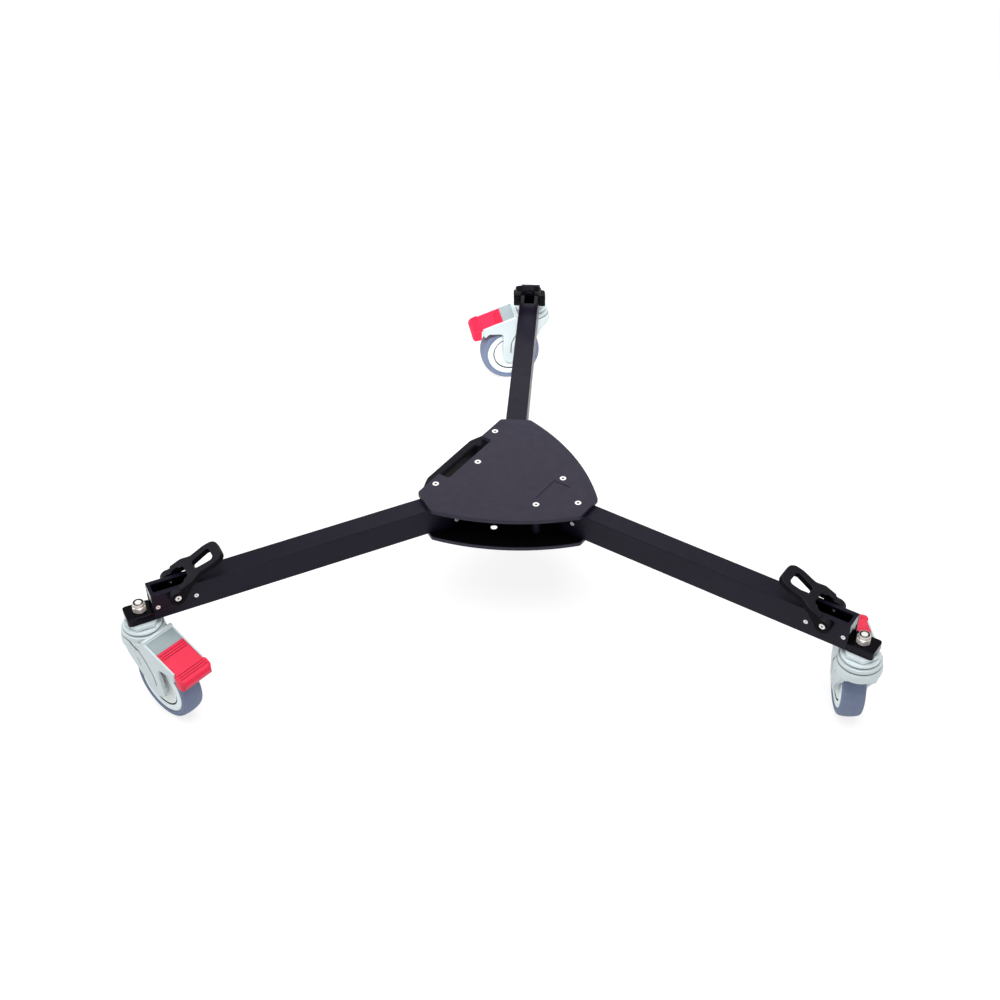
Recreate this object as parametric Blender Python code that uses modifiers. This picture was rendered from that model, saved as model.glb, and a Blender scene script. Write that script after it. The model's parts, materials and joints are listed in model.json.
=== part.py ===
"""Folding three-arm tripod dolly with braked swivel casters.

Units are metres and +Z is up. The origin is the middle of the hub's upper face. The front arm
lies along +X and stays put. The left and right arms fold about their bolts to lie beside it.
Distances named RADIUS_... are measured from the hub's axis along an arm.
"""
import math

import bmesh
import bpy
from mathutils import Matrix, Vector

# Clearances
FIT_GAP = 0.0003
RUNNING_GAP = 0.0005

# Hub
ARM_ANGLES = {"front": 0.0, "left": 120.0, "right": 240.0}
PLATE_THICKNESS = 0.006
PLATE_EDGE_CHAMFER = 0.0006
PLATE_TIP_REACH = 0.1295
PLATE_TIP_HALF_WIDTH = 0.0215
PLATE_TIP_RADIUS = 0.007
PLATE_SIDE_BULGE = 0.016
PIVOT_BEFORE_TIP = 0.0345
PIVOT_BOLT_RADIUS = 0.005
PIVOT_BOLT_HEAD_RADIUS = 0.0095
PIVOT_BOLT_SKIN = 0.0015
PIVOT_BOLT_SOCKET = 0.0035
POST_BEFORE_PIVOT = 0.0295
POST_SPREAD = 0.034
POST_RADIUS = 0.006
POST_BORE = 0.0023
FRONT_SCREW_SKIN = 0.0018
PLATE_SCREW_HEAD_RADIUS = 0.0047
PLATE_SCREW_SHAFT_RADIUS = 0.0024
RECESS_LENGTH = 0.027
RECESS_WIDTH = 0.046
RECESS_DEPTH = 0.0005
RECESS_BEFORE_PIVOT = 0.0235
SERVICE_HOLE = (0.0137, -0.0595)
SERVICE_HOLE_RADIUS = 0.0048

# Carry handle
HAND_CUTOUT_DEPTH = 0.01737
HAND_CUTOUT_HALF_LENGTH = 0.052
GRIP_STANDS_OUT = 0.02113
GRIP_WIDTH = 0.0145
GRIP_THICKNESS = 0.022
GRIP_EDGE_RADIUS = 0.004
GRIP_END_STEP = 0.0125
GRIP_END_LENGTH = 0.032
GRIP_ROOT = 0.005
HAND_CORNER_FLAT = 0.010
HANDLE_BACK = 0.019
HANDLE_MIDDLE_SCREW = 0.0125
HANDLE_END_SCREW = (0.00957, 0.0117)

# Arm tube
TUBE_WIDTH = 0.030
TUBE_HEIGHT = 0.040
TUBE_WALL = 0.003
TUBE_CORNER_RADIUS = 0.0008
TUBE_END_BEFORE_STEM = 0.0151
HINGE_BLOCK_LENGTH = 0.030

# Foot slot and end block
SLOT_START_BEFORE_BAIL = 0.0264
SLOT_END_BEFORE_TUBE_END = 0.0045
SLOT_WIDTH = 0.0165
BLOCK_START_BEFORE_SLOT = 0.007
BLOCK_END_AFTER_STEM = 0.0199
BULKHEAD_THICKNESS = 0.013
BULKHEAD_HEIGHT = 0.027
PLATFORM_HEIGHT = 0.0117
PLATFORM_CORNER_RADIUS = 0.004
STEM_AFTER_BAIL = 0.0472

# Foot bail
BAIL_AFTER_PIVOT = 0.3864
BAIL_PIVOT_HEIGHT = 0.0314
BAIL_THICKNESS = 0.009
BAIL_OFFSET = 0.007
BAIL_LEAN = math.radians(25.3)
BAIL_ARM_START = 0.009
BAIL_LENGTH = 0.079
BAIL_CROSSBAR_START = 0.026
BAIL_CROSSBAR_END = 0.038
BAIL_LOOP_HALF_WIDTH = 0.0205
BAIL_WAIST_HALF_WIDTH = 0.0187
BAIL_TIP_BAR = 0.013
FINGER_HOLE_HALF_WIDTHS = (0.0072, 0.0115)
BAIL_EDGE_RADIUS = 0.0014
EAR_RADIUS = 0.0105
BAIL_LIFTS = {"front": 0.0, "left": 14.0, "right": 0.0}
EAR_THICKNESS = 0.010
BAIL_SCREW_RADIUS = 0.003
BAIL_SCREW_HEAD_RADIUS = 0.0047
BAIL_SCREW_HEAD_DEPTH = 0.003
BAIL_SCREW_RECESS = 0.0012
BAIL_SCREW_REACH_IN = 0.0015

# Caster stem, nut and swivel ring; heights are below the tube's underside
STEM_RADIUS = 0.0053
STEM_STANDS_PROUD = 0.0007
NUT_ACROSS_FLATS = 0.017
NUT_HEIGHT = 0.0128
NUT_HEX_HEIGHT = 0.0085
NUT_COLLAR_RADIUS = 0.0075
FLANGE_ACROSS_FLATS = 0.040
FLANGE_HEIGHT = 0.0068
SPIGOT_RADIUS = 0.011
SPIGOT_DEPTH = 0.031
RING_RADIUS = 0.0252
RING_HEIGHT = 0.0056

# Caster housing, in its own frame: X runs along the trail and Z = 0 is the tube's underside
SWIVEL_ANGLES = {"front": 121.1, "left": 224.7, "right": -6.7}
TRAIL = 0.0376
AXLE_DROP = 0.0908
COLLAR_RADIUS = 0.0282
DOME_RADIUS = 0.0303
COLLAR_BOTTOM = -0.0200
DOME_BOTTOM = -0.0400
APRON_BOTTOM = -0.0335
HOUSING_HALF_WIDTH = 0.0245
HOUSING_EDGE_RADIUS = 0.0018
HOUSING_CORNER_RADIUS = 0.002
FORK_INNER_HALF_WIDTH = 0.017
FORK_END_RADIUS = 0.0145
FORK_FRONT = 0.0190
FORK_TAPER_START = -0.058
FORK_TAPER = 0.0045
RIDGE_START = RING_RADIUS + 0.0012
RIDGE_END = 0.031
RIDGE_TOP = -0.0115
RIDGE_STEP = 0.003
SHOULDER_TOP = -0.0195
TAIL_END = 0.086
RAIL_NECK = (0.076, -0.0430)
RAIL_HOOK = (0.0815, -0.0495)
TAIL_SLOPE = math.radians(18.0)
ROOF_THICKNESS = 0.0042

# Wheel
WHEEL_RADIUS = 0.050
TREAD_HALF_WIDTH = 0.0154
TYRE_SHOULDER = 0.0035
TYRE_THICKNESS = 0.0103
RIM_HALF_WIDTH = 0.0147
RIM_BAND_WIDTH = 0.0095
GUARD_DEPTH = 0.0038
GUARD_INSET = 0.0004
AXLE_RADIUS = 0.005
AXLE_BLIND_DEPTH = 0.0024

# Brake pedal
PEDAL_START = 0.052
PEDAL_HALF_WIDTH = 0.0215
PEDAL_WIDE_START = 0.088
PEDAL_WIDE_HALF_WIDTH = 0.025
PEDAL_END = 0.1055
PEDAL_THICKNESS = 0.004
PEDAL_CAP_DROP = 0.0150
PEDAL_PIN = (0.058, -0.037)
PEDAL_PIN_RADIUS = 0.002
PIN_BLIND_DEPTH = 0.0055
PEDAL_BOSS_RADIUS = 0.0045
PEDAL_BOSS_HALF_WIDTH = 0.014
PEDAL_TRAVEL = math.radians(12.0)
SHOE_GAP_WHEN_PRESSED = 0.0006
SHOE_ANGLES = (64.0, 52.0)
PEDAL_RIB_HEIGHT = 0.0007
PEDAL_RIB_WIDTH = 0.0016

# Places on the hub and its handle that follow from the sizes above
RADIUS_PIVOT = PLATE_TIP_REACH - PIVOT_BEFORE_TIP
POST_REACH = RADIUS_PIVOT - POST_BEFORE_PIVOT
RECESS_REACH = RADIUS_PIVOT - RECESS_BEFORE_PIVOT
PLATE_CHORD = PLATE_TIP_REACH / 2 + PLATE_TIP_HALF_WIDTH * math.cos(math.radians(30))
HAND_CUTOUT_REACH = PLATE_CHORD - HAND_CUTOUT_DEPTH
GRIP_REACH = PLATE_CHORD + GRIP_STANDS_OUT
GRIP_END_REACH = GRIP_REACH - GRIP_END_STEP
GRIP_END_HALF_LENGTH = HAND_CUTOUT_HALF_LENGTH + GRIP_END_LENGTH
HANDLE_BACK_REACH = HAND_CUTOUT_REACH - HANDLE_BACK
END_SCREW_REACH = PLATE_CHORD - HANDLE_END_SCREW[0]
END_SCREW_OFFSET = GRIP_END_HALF_LENGTH - HANDLE_END_SCREW[1]
HANDLE_SCREWS = ((HAND_CUTOUT_REACH - HANDLE_MIDDLE_SCREW, 0.0), (END_SCREW_REACH, END_SCREW_OFFSET),
                 (END_SCREW_REACH, -END_SCREW_OFFSET))

# Radii of the wheel that follow from the sizes above
RIM_RADIUS = WHEEL_RADIUS - TYRE_THICKNESS
RIM_LIP_RADIUS = RIM_RADIUS - RIM_BAND_WIDTH

# Radii of the arm that follow from the sizes above
RADIUS_BAIL = RADIUS_PIVOT + BAIL_AFTER_PIVOT
RADIUS_FRONT_SCREW = RADIUS_PIVOT + PIVOT_BOLT_HEAD_RADIUS + PLATE_SCREW_HEAD_RADIUS + FRONT_SCREW_SKIN
RADIUS_STEM = RADIUS_BAIL + STEM_AFTER_BAIL
RADIUS_TUBE_END = RADIUS_STEM - TUBE_END_BEFORE_STEM
RADIUS_SLOT_START = RADIUS_BAIL - SLOT_START_BEFORE_BAIL
RADIUS_SLOT_END = RADIUS_TUBE_END - SLOT_END_BEFORE_TUBE_END
RADIUS_BLOCK_START = RADIUS_SLOT_START - BLOCK_START_BEFORE_SLOT
RADIUS_BLOCK_END = RADIUS_STEM + BLOCK_END_AFTER_STEM

# Heights that follow from the sizes above
TUBE_TOP = -PLATE_THICKNESS - FIT_GAP
TUBE_BOTTOM = TUBE_TOP - TUBE_HEIGHT
TUBE_MIDDLE = TUBE_TOP - TUBE_HEIGHT / 2
BOTTOM_PLATE_TOP = TUBE_BOTTOM - FIT_GAP
BOTTOM_PLATE_BOTTOM = BOTTOM_PLATE_TOP - PLATE_THICKNESS
BAIL_PIVOT_Z = TUBE_BOTTOM + BAIL_PIVOT_HEIGHT
BLOCK_FLOOR = TUBE_WALL + FIT_GAP
EAR_INNER = TUBE_WIDTH / 2 + FIT_GAP
EAR_OUTER = EAR_INNER + EAR_THICKNESS
FLANGE_TOP = -FIT_GAP
FLANGE_BOTTOM = FLANGE_TOP - FLANGE_HEIGHT
RING_TOP = FLANGE_BOTTOM - FIT_GAP
RING_BOTTOM = RING_TOP - RING_HEIGHT
COLLAR_TOP = RING_BOTTOM - FIT_GAP
PARTS = bpy.data.collections.new("tripod_dolly")
CONSTRUCTION = bpy.data.collections.new("construction")


def along(radius):
    """Distance from an arm's pivot of a place given by its radius from the hub's axis."""
    return radius - RADIUS_PIVOT


def polar(radius, degrees, centre=(0.0, 0.0)):
    """Point on a circle."""
    angle = math.radians(degrees)
    return (centre[0] + radius * math.cos(angle), centre[1] + radius * math.sin(angle))


def arc(centre, radius, start, stop, count):
    """Points on an arc from start to stop degrees, both ends included."""
    return [polar(radius, start + (stop - start) * i / count, centre) for i in range(count + 1)]


def rounded(corners, step=22.5):
    """Closed outline through (x, y, radius) corners, each corner turned into an arc of its radius."""
    outline = []
    for i, (x, y, radius) in enumerate(corners):
        here = Vector((x, y))
        if radius == 0:
            outline.append((x, y))
            continue
        before = (Vector(corners[i - 1][:2]) - here).normalized()
        after = (Vector(corners[(i + 1) % len(corners)][:2]) - here).normalized()
        turn = before.angle(after)
        reach = radius / math.tan(turn / 2)
        centre = here + (before + after).normalized() * (radius / math.sin(turn / 2))
        first = here + before * reach - centre
        last = here + after * reach - centre
        sweep = first.angle_signed(last)
        count = max(1, round(abs(math.degrees(sweep)) / step))
        for k in range(count + 1):
            turned_by = Matrix.Rotation(-sweep * k / count, 2)
            outline.append(tuple(centre + turned_by @ first))
    return outline


def mirrored(half):
    """Closed list of corners from those on the side y > 0, with the mirror image added in reverse."""
    return list(half) + [(x, -y, *rest) for x, y, *rest in reversed(half) if y != 0]


def baked(obj):
    """Mesh of an object with its modifiers, welded and with its faces pointing out; the object goes."""
    bpy.context.view_layer.update()
    graph = bpy.context.evaluated_depsgraph_get()
    mesh = bpy.data.meshes.new_from_object(obj.evaluated_get(graph))
    bpy.data.objects.remove(obj)
    shape = bmesh.new()
    shape.from_mesh(mesh)
    bmesh.ops.remove_doubles(shape, verts=shape.verts, dist=0.000002)
    bmesh.ops.dissolve_degenerate(shape, edges=shape.edges, dist=0.000002)
    bmesh.ops.recalc_face_normals(shape, faces=shape.faces)
    shape.to_mesh(mesh)
    shape.free()
    return mesh


def construction_object(name, data):
    """Helper object that is never rendered."""
    obj = bpy.data.objects.new(name, data)
    obj.hide_render = True
    obj.display_type = "WIRE"
    CONSTRUCTION.objects.link(obj)
    return obj


def extruded(outlines, depth, edge=0.0, edge_steps=0):
    """Flat outlines, the first one outside and the rest holes, extruded to a depth centred on Z = 0."""
    curve = bpy.data.curves.new("outline", "CURVE")
    curve.dimensions = "2D"
    curve.fill_mode = "BOTH"
    curve.extrude = depth / 2 - edge
    curve.bevel_depth = edge
    curve.bevel_resolution = edge_steps
    curve.offset = -edge
    for outline in outlines:
        spline = curve.splines.new("POLY")
        spline.points.add(len(outline) - 1)
        for point, (x, y) in zip(spline.points, outline):
            point.co = (x, y, 0.0, 1.0)
        spline.use_cyclic_u = True
    return baked(construction_object("outline", curve))


def turned(profile, segments, ring=False):
    """Profile of (radius, height) points, from top to bottom outside, turned about Z."""
    mesh = bpy.data.meshes.new("profile")
    count = len(profile)
    edges = [(i, i + 1) for i in range(count - 1)]
    if ring:
        edges.append((count - 1, 0))
    mesh.from_pydata([(radius, 0.0, height) for radius, height in profile], edges, [])
    obj = construction_object("profile", mesh)
    screw = obj.modifiers.new("turn", "SCREW")
    screw.axis = "Z"
    screw.steps = segments
    screw.render_steps = segments
    screw.use_merge_vertices = True
    screw.merge_threshold = 0.00001
    return baked(obj)


def box(low, high):
    """Box between two corners."""
    mesh = bpy.data.meshes.new("box")
    shape = bmesh.new()
    bmesh.ops.create_cube(shape, size=1.0)
    low = Vector(low)
    high = Vector(high)
    bmesh.ops.scale(shape, vec=high - low, verts=shape.verts)
    bmesh.ops.translate(shape, vec=(high + low) / 2, verts=shape.verts)
    shape.to_mesh(mesh)
    shape.free()
    return mesh


def rod(radius, length, segments=16, axis="Z", centre=(0.0, 0.0, 0.0)):
    """Cylinder along an axis, centred on a point."""
    mesh = bpy.data.meshes.new("rod")
    shape = bmesh.new()
    bmesh.ops.create_cone(shape, cap_ends=True, segments=segments, radius1=radius, radius2=radius, depth=length)
    shape.to_mesh(mesh)
    shape.free()
    return moved(mesh, toward(axis, centre))


def toward(axis, centre=(0.0, 0.0, 0.0)):
    """Placement that turns local Z towards a world axis and moves the origin to a point."""
    turns = {"Z": Matrix.Identity(4), "X": Matrix.Rotation(math.pi / 2, 4, "Y"),
             "Y": Matrix.Rotation(-math.pi / 2, 4, "X"), "-Z": Matrix.Rotation(math.pi, 4, "X")}
    return Matrix.Translation(centre) @ turns[axis]


def side_profile():
    """Placement that stands an outline drawn in (x, height) upright, its thickness along Y."""
    return Matrix.Rotation(math.pi / 2, 4, "X")


def moved(mesh, placement):
    """The same mesh after a placement."""
    mesh.transform(placement)
    return mesh


def shifted(mesh, x=0.0, y=0.0, z=0.0):
    """The same mesh after a shift."""
    return moved(mesh, Matrix.Translation((x, y, z)))


def carved(base, *steps):
    """Base mesh after Boolean steps, each a pair of an operation and a tool's mesh."""
    for operation, tool_mesh in steps:
        work = construction_object("work", base)
        tool = construction_object("tool", tool_mesh)
        change = work.modifiers.new("change", "BOOLEAN")
        change.operation = operation
        change.solver = "EXACT"
        change.object = tool
        base = baked(work)
        bpy.data.objects.remove(tool)
    return base


def tidied(mesh, angle=1.0):
    """The same mesh with the flat faces that Boolean steps split joined again."""
    shape = bmesh.new()
    shape.from_mesh(mesh)
    bmesh.ops.dissolve_limit(shape, angle_limit=math.radians(angle), verts=shape.verts, edges=shape.edges)
    bmesh.ops.triangulate(shape, faces=shape.faces)
    shape.to_mesh(mesh)
    shape.free()
    return mesh


def countersink(head_radius, shaft_radius, depth, segments=8):
    """Cutter for a countersunk hole whose mouth is at Z = 0 and opens upwards."""
    over = 0.001
    cone_depth = head_radius - shaft_radius
    profile = [(0.0, over), (head_radius + over, over), (shaft_radius, -cone_depth),
               (shaft_radius, -depth - over), (0.0, -depth - over)]
    return turned(profile, segments)


def hub_outline():
    """Outline of both hub plates: three blunt tips, two bulging sides and a straight handle side."""
    corners = []
    for angle in ARM_ANGLES.values():
        turn = Matrix.Rotation(math.radians(angle), 2)
        for side in (-1, 1):
            tip = turn @ Vector((PLATE_TIP_REACH, side * PLATE_TIP_HALF_WIDTH))
            corners.append((*tip, PLATE_TIP_RADIUS))
        if angle == ARM_ANGLES["left"]:
            corners += hand_cutout_corners()
        else:
            corners += bulge_corners(angle + 60.0)
    return rounded(corners, 30)


def bulge_corners(middle):
    """Inner points of the bulging side whose middle lies at an angle, from tip to tip."""
    half_chord = PLATE_TIP_REACH * math.cos(math.radians(30)) - PLATE_TIP_HALF_WIDTH / 2
    radius = (half_chord ** 2 + PLATE_SIDE_BULGE ** 2) / (2 * PLATE_SIDE_BULGE)
    half_angle = math.degrees(math.asin(half_chord / radius))
    centre = polar(PLATE_CHORD + PLATE_SIDE_BULGE - radius, middle)
    points = arc(centre, radius, middle - half_angle, middle + half_angle, 10)
    return [(x, y, 0.0) for x, y in points[1:-1]]


def hand_cutout_corners():
    """Corners of the cut-out for the hand in the plates' straight side."""
    half = HAND_CUTOUT_HALF_LENGTH
    return [(-PLATE_CHORD, half, 0.0015), (-HAND_CUTOUT_REACH, half, 0.004),
            (-HAND_CUTOUT_REACH, -half, 0.004), (-PLATE_CHORD, -half, 0.0015)]


def plate_screw_places():
    """Places of the countersunk screws that hold the plates to what lies between them."""
    places = [(-reach, offset) for reach, offset in HANDLE_SCREWS]
    places += [(POST_REACH, POST_SPREAD), (POST_REACH, -POST_SPREAD), (RADIUS_FRONT_SCREW, 0.0)]
    return places


def plate_blank(top):
    """Hub plate with its upper face at a height and no holes."""
    blank = extruded([hub_outline()], PLATE_THICKNESS, PLATE_EDGE_CHAMFER)
    return shifted(blank, z=top - PLATE_THICKNESS / 2)


def top_plate():
    """Upper hub plate with countersunk screw holes, blind bolt holes and the bare recess."""
    steps = []
    for x, y in plate_screw_places():
        hole = countersink(PLATE_SCREW_HEAD_RADIUS, PLATE_SCREW_SHAFT_RADIUS, PLATE_THICKNESS)
        steps.append(("DIFFERENCE", shifted(hole, x, y)))
    for angle in ARM_ANGLES.values():
        x, y = polar(RADIUS_PIVOT, angle)
        deep = PLATE_THICKNESS - PIVOT_BOLT_SKIN
        hole = rod(PIVOT_BOLT_RADIUS + FIT_GAP, 2 * deep, 12, centre=(x, y, -PLATE_THICKNESS))
        steps.append(("DIFFERENCE", hole))
    low = (RECESS_REACH - RECESS_LENGTH / 2, -RECESS_WIDTH / 2, -RECESS_DEPTH)
    high = (RECESS_REACH + RECESS_LENGTH / 2, RECESS_WIDTH / 2, 0.001)
    steps.append(("DIFFERENCE", box(low, high)))
    return tidied(carved(plate_blank(0.0), *steps))


def bottom_plate():
    """Lower hub plate with countersunk holes from below and the plain service hole."""
    steps = []
    for x, y in plate_screw_places():
        hole = countersink(PLATE_SCREW_HEAD_RADIUS, PLATE_SCREW_SHAFT_RADIUS, PLATE_THICKNESS)
        steps.append(("DIFFERENCE", moved(hole, toward("-Z", (x, y, BOTTOM_PLATE_BOTTOM)))))
    for angle in ARM_ANGLES.values():
        x, y = polar(RADIUS_PIVOT, angle)
        hole = countersink(PIVOT_BOLT_HEAD_RADIUS + FIT_GAP, PIVOT_BOLT_RADIUS + FIT_GAP, PLATE_THICKNESS, 12)
        steps.append(("DIFFERENCE", moved(hole, toward("-Z", (x, y, BOTTOM_PLATE_BOTTOM)))))
    service = rod(SERVICE_HOLE_RADIUS, 0.02, centre=(*SERVICE_HOLE, BOTTOM_PLATE_TOP))
    steps.append(("DIFFERENCE", service))
    return tidied(carved(plate_blank(BOTTOM_PLATE_TOP), *steps))


def carry_handle():
    """Handle casting: a full-height saddle between the plates and a lower grip bar outside them."""
    half = HAND_CUTOUT_HALF_LENGTH
    edge = PLATE_CHORD - 0.0005
    back = HANDLE_BACK_REACH
    front = HAND_CUTOUT_REACH
    end = GRIP_END_HALF_LENGTH
    saddle = [(back, end - 0.044, 0.006), (front - 0.004, end - 0.017, 0.008), (front + 0.002, end - 0.003, 0.005),
              (edge, end, 0.003), (edge, half, 0.0), (front, half, 0.004)]
    inner = GRIP_REACH - GRIP_WIDTH
    root = front + GRIP_ROOT
    grip = [(GRIP_REACH, half, 0.010), (GRIP_END_REACH, end, 0.005), (root, end - 0.0015, 0.005),
            (root, half - 0.0005, 0.0), (inner, half, inner - root - HAND_CORNER_FLAT)]
    flip = Matrix.Diagonal((-1.0, 1.0, 1.0, 1.0))
    body = extruded([rounded(mirrored(saddle), 30)], TUBE_HEIGHT)
    bar = extruded([rounded(mirrored(grip), 30)], GRIP_THICKNESS, GRIP_EDGE_RADIUS)
    steps = [("UNION", bar)]
    for reach, offset in HANDLE_SCREWS:
        bore = rod(PLATE_SCREW_SHAFT_RADIUS, TUBE_HEIGHT + 0.01, 6, centre=(reach, offset, 0.0))
        steps.append(("DIFFERENCE", bore))
    handle = moved(tidied(carved(body, *steps)), flip)
    handle.flip_normals()
    return shifted(handle, z=TUBE_MIDDLE)


def spacer_post():
    """Bored post between the hub plates, centred on Z = 0."""
    half = TUBE_HEIGHT / 2
    profile = [(POST_BORE, half), (POST_RADIUS, half), (POST_RADIUS, -half), (POST_BORE, -half)]
    return turned(profile, 10, ring=True)


def pivot_bolt():
    """Countersunk bolt from the bottom plate's underside up into the top plate; Z is the world's."""
    bottom = BOTTOM_PLATE_BOTTOM
    cone = PIVOT_BOLT_HEAD_RADIUS - PIVOT_BOLT_RADIUS
    top = -PIVOT_BOLT_SKIN - FIT_GAP
    profile = [(0.0, top), (PIVOT_BOLT_RADIUS, top), (PIVOT_BOLT_RADIUS, bottom + cone),
               (PIVOT_BOLT_HEAD_RADIUS, bottom), (0.0, bottom)]
    socket = rod(PIVOT_BOLT_SOCKET, 0.007, 6, centre=(0.0, 0.0, bottom))
    return carved(turned(profile, 12), ("DIFFERENCE", socket))


def arm_tube():
    """Box-section arm with a round hub end, a foot slot in its top wall and its bolt holes."""
    end = along(RADIUS_TUBE_END)
    tail = TUBE_WIDTH / 2
    half_h = TUBE_HEIGHT / 2
    outer = rounded([(-half_h, -tail, TUBE_CORNER_RADIUS), (half_h, -tail, TUBE_CORNER_RADIUS),
                     (half_h, tail, TUBE_CORNER_RADIUS), (-half_h, tail, TUBE_CORNER_RADIUS)], 90)
    inner_y = tail - TUBE_WALL
    inner_z = half_h - TUBE_WALL
    inner = [(-inner_z, -inner_y), (-inner_z, inner_y), (inner_z, inner_y), (inner_z, -inner_y)]
    tube = moved(extruded([outer, inner], end + tail), toward("X", ((end - tail) / 2, 0.0, TUBE_MIDDLE)))
    wide = tail + 0.002
    keep_outline = [(end + 0.01, -wide), (end + 0.01, wide), (0.0, wide)]
    keep_outline += arc((0.0, 0.0), tail - 0.00005, 90, 270, 10) + [(0.0, -wide)]
    keep = shifted(extruded([keep_outline], TUBE_HEIGHT + 0.01), z=TUBE_MIDDLE)
    slot_a = along(RADIUS_SLOT_START)
    slot_b = along(RADIUS_SLOT_END)
    half_slot = SLOT_WIDTH / 2
    corner = 0.002
    slot = extruded([rounded([(slot_a, -half_slot, corner), (slot_b, -half_slot, corner),
                              (slot_b, half_slot, corner), (slot_a, half_slot, corner)], 60)], 0.01)
    bolt = rod(PIVOT_BOLT_RADIUS + FIT_GAP, TUBE_HEIGHT + 0.01, 12, centre=(0.0, 0.0, TUBE_MIDDLE))
    screw = rod(BAIL_SCREW_RADIUS + FIT_GAP, TUBE_WIDTH + 0.01, 8, "Y",
                (along(RADIUS_BAIL), 0.0, BAIL_PIVOT_Z))
    return tidied(carved(tube, ("INTERSECT", keep), ("DIFFERENCE", shifted(slot, z=TUBE_TOP)),
                         ("DIFFERENCE", bolt), ("DIFFERENCE", screw)))


def hinge_block():
    """Block inside the tube's hub end that the pivot bolt passes through."""
    half = TUBE_WIDTH / 2 - TUBE_WALL - FIT_GAP
    outline = arc((0.0, 0.0), half, 90, 270, 6)
    outline += [(HINGE_BLOCK_LENGTH, -half), (HINGE_BLOCK_LENGTH, half)]
    height = TUBE_HEIGHT - 2 * (TUBE_WALL + FIT_GAP)
    block = shifted(extruded([outline], height), z=TUBE_MIDDLE)
    bore = rod(PIVOT_BOLT_RADIUS + FIT_GAP, TUBE_HEIGHT, 12, centre=(0.0, 0.0, TUBE_MIDDLE))
    return carved(block, ("DIFFERENCE", bore))


def end_block():
    """Block in the arm's outer end: foot pocket inside the tube, caster platform outside it."""
    start = along(RADIUS_BLOCK_START)
    end = along(RADIUS_BLOCK_END)
    wall = along(RADIUS_TUBE_END) + FIT_GAP
    floor = PLATFORM_HEIGHT
    top = BULKHEAD_HEIGHT
    inside = [(start, BLOCK_FLOOR, 0.0), (wall + 0.004, BLOCK_FLOOR, 0.0), (wall + 0.004, floor, 0.0),
              (wall - 0.001, floor, 0.0), (wall - 0.001, top, 0.001), (wall - BULKHEAD_THICKNESS, top, 0.001),
              (wall - BULKHEAD_THICKNESS, floor, 0.0), (start + BULKHEAD_THICKNESS, floor, 0.0),
              (start + BULKHEAD_THICKNESS, top, 0.001), (start, top, 0.001)]
    width = TUBE_WIDTH - 2 * (TUBE_WALL + FIT_GAP)
    core = moved(extruded([rounded(inside, 45)], width), side_profile())
    half = TUBE_WIDTH / 2
    plan = rounded([(wall, -half, 0.0), (end, -half, PLATFORM_CORNER_RADIUS),
                    (end, half, PLATFORM_CORNER_RADIUS), (wall, half, 0.0)], 30)
    platform = shifted(extruded([plan], floor, 0.0004), z=floor / 2)
    bore = rod(STEM_RADIUS + FIT_GAP, 0.06, 12, centre=(along(RADIUS_STEM), 0.0, 0.0))
    block = carved(platform, ("UNION", core), ("DIFFERENCE", bore))
    return shifted(tidied(block), z=TUBE_BOTTOM)


def foot_bail():
    """Moulded bail: two ears, a crossbar and a finger loop; X runs from the pivot to the tip."""
    tip = BAIL_LENGTH
    start = BAIL_CROSSBAR_START
    outer = [(tip, 0.0175, 0.012), (tip - 0.018, BAIL_LOOP_HALF_WIDTH, 0.014),
             (start + 0.014, BAIL_WAIST_HALF_WIDTH, 0.009), (start + 0.001, EAR_OUTER, 0.010),
             (BAIL_ARM_START, EAR_OUTER, 0.003), (BAIL_ARM_START, EAR_INNER, 0.0),
             (start, EAR_INNER, 0.006)]
    narrow, wide = FINGER_HOLE_HALF_WIDTHS
    hole_end = tip - BAIL_TIP_BAR
    hole = [(BAIL_CROSSBAR_END, -narrow, 0.003), (BAIL_CROSSBAR_END, narrow, 0.003),
            (hole_end, wide, 0.005), (hole_end, -wide, 0.005)]
    body = extruded([rounded(mirrored(outer), 45), rounded(hole, 45)], BAIL_THICKNESS, BAIL_EDGE_RADIUS)
    body = shifted(body, z=BAIL_OFFSET)
    steps = []
    for side in (-1, 1):
        steps.append(("UNION", bail_ear(side)))
    depth = BAIL_SCREW_HEAD_DEPTH + BAIL_SCREW_RECESS + FIT_GAP
    for side in (-1, 1):
        mouth = rod(BAIL_SCREW_HEAD_RADIUS + RUNNING_GAP, 2 * depth, 12, "Y", (0.0, side * EAR_OUTER, 0.0))
        steps.append(("DIFFERENCE", mouth))
    shaft = rod(BAIL_SCREW_RADIUS + FIT_GAP, 2 * EAR_OUTER + 0.01, 8, "Y")
    steps.append(("DIFFERENCE", shaft))
    return tidied(carved(body, *steps))


def bail_ear(side):
    """Ear disc of the bail on one side, drawn out to meet the side arm above it."""
    under = BAIL_OFFSET - BAIL_THICKNESS / 2
    neck = BAIL_CROSSBAR_START - 0.003
    outline = arc((0.0, 0.0), EAR_RADIUS, 60, 310, 9) + [(neck, under - 0.0005), (neck, under + 0.004)]
    outline.append((BAIL_ARM_START + 0.002, under + 0.006))
    ear = extruded([outline], EAR_THICKNESS)
    return shifted(moved(ear, side_profile()), y=side * (EAR_INNER + EAR_OUTER) / 2)


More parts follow.
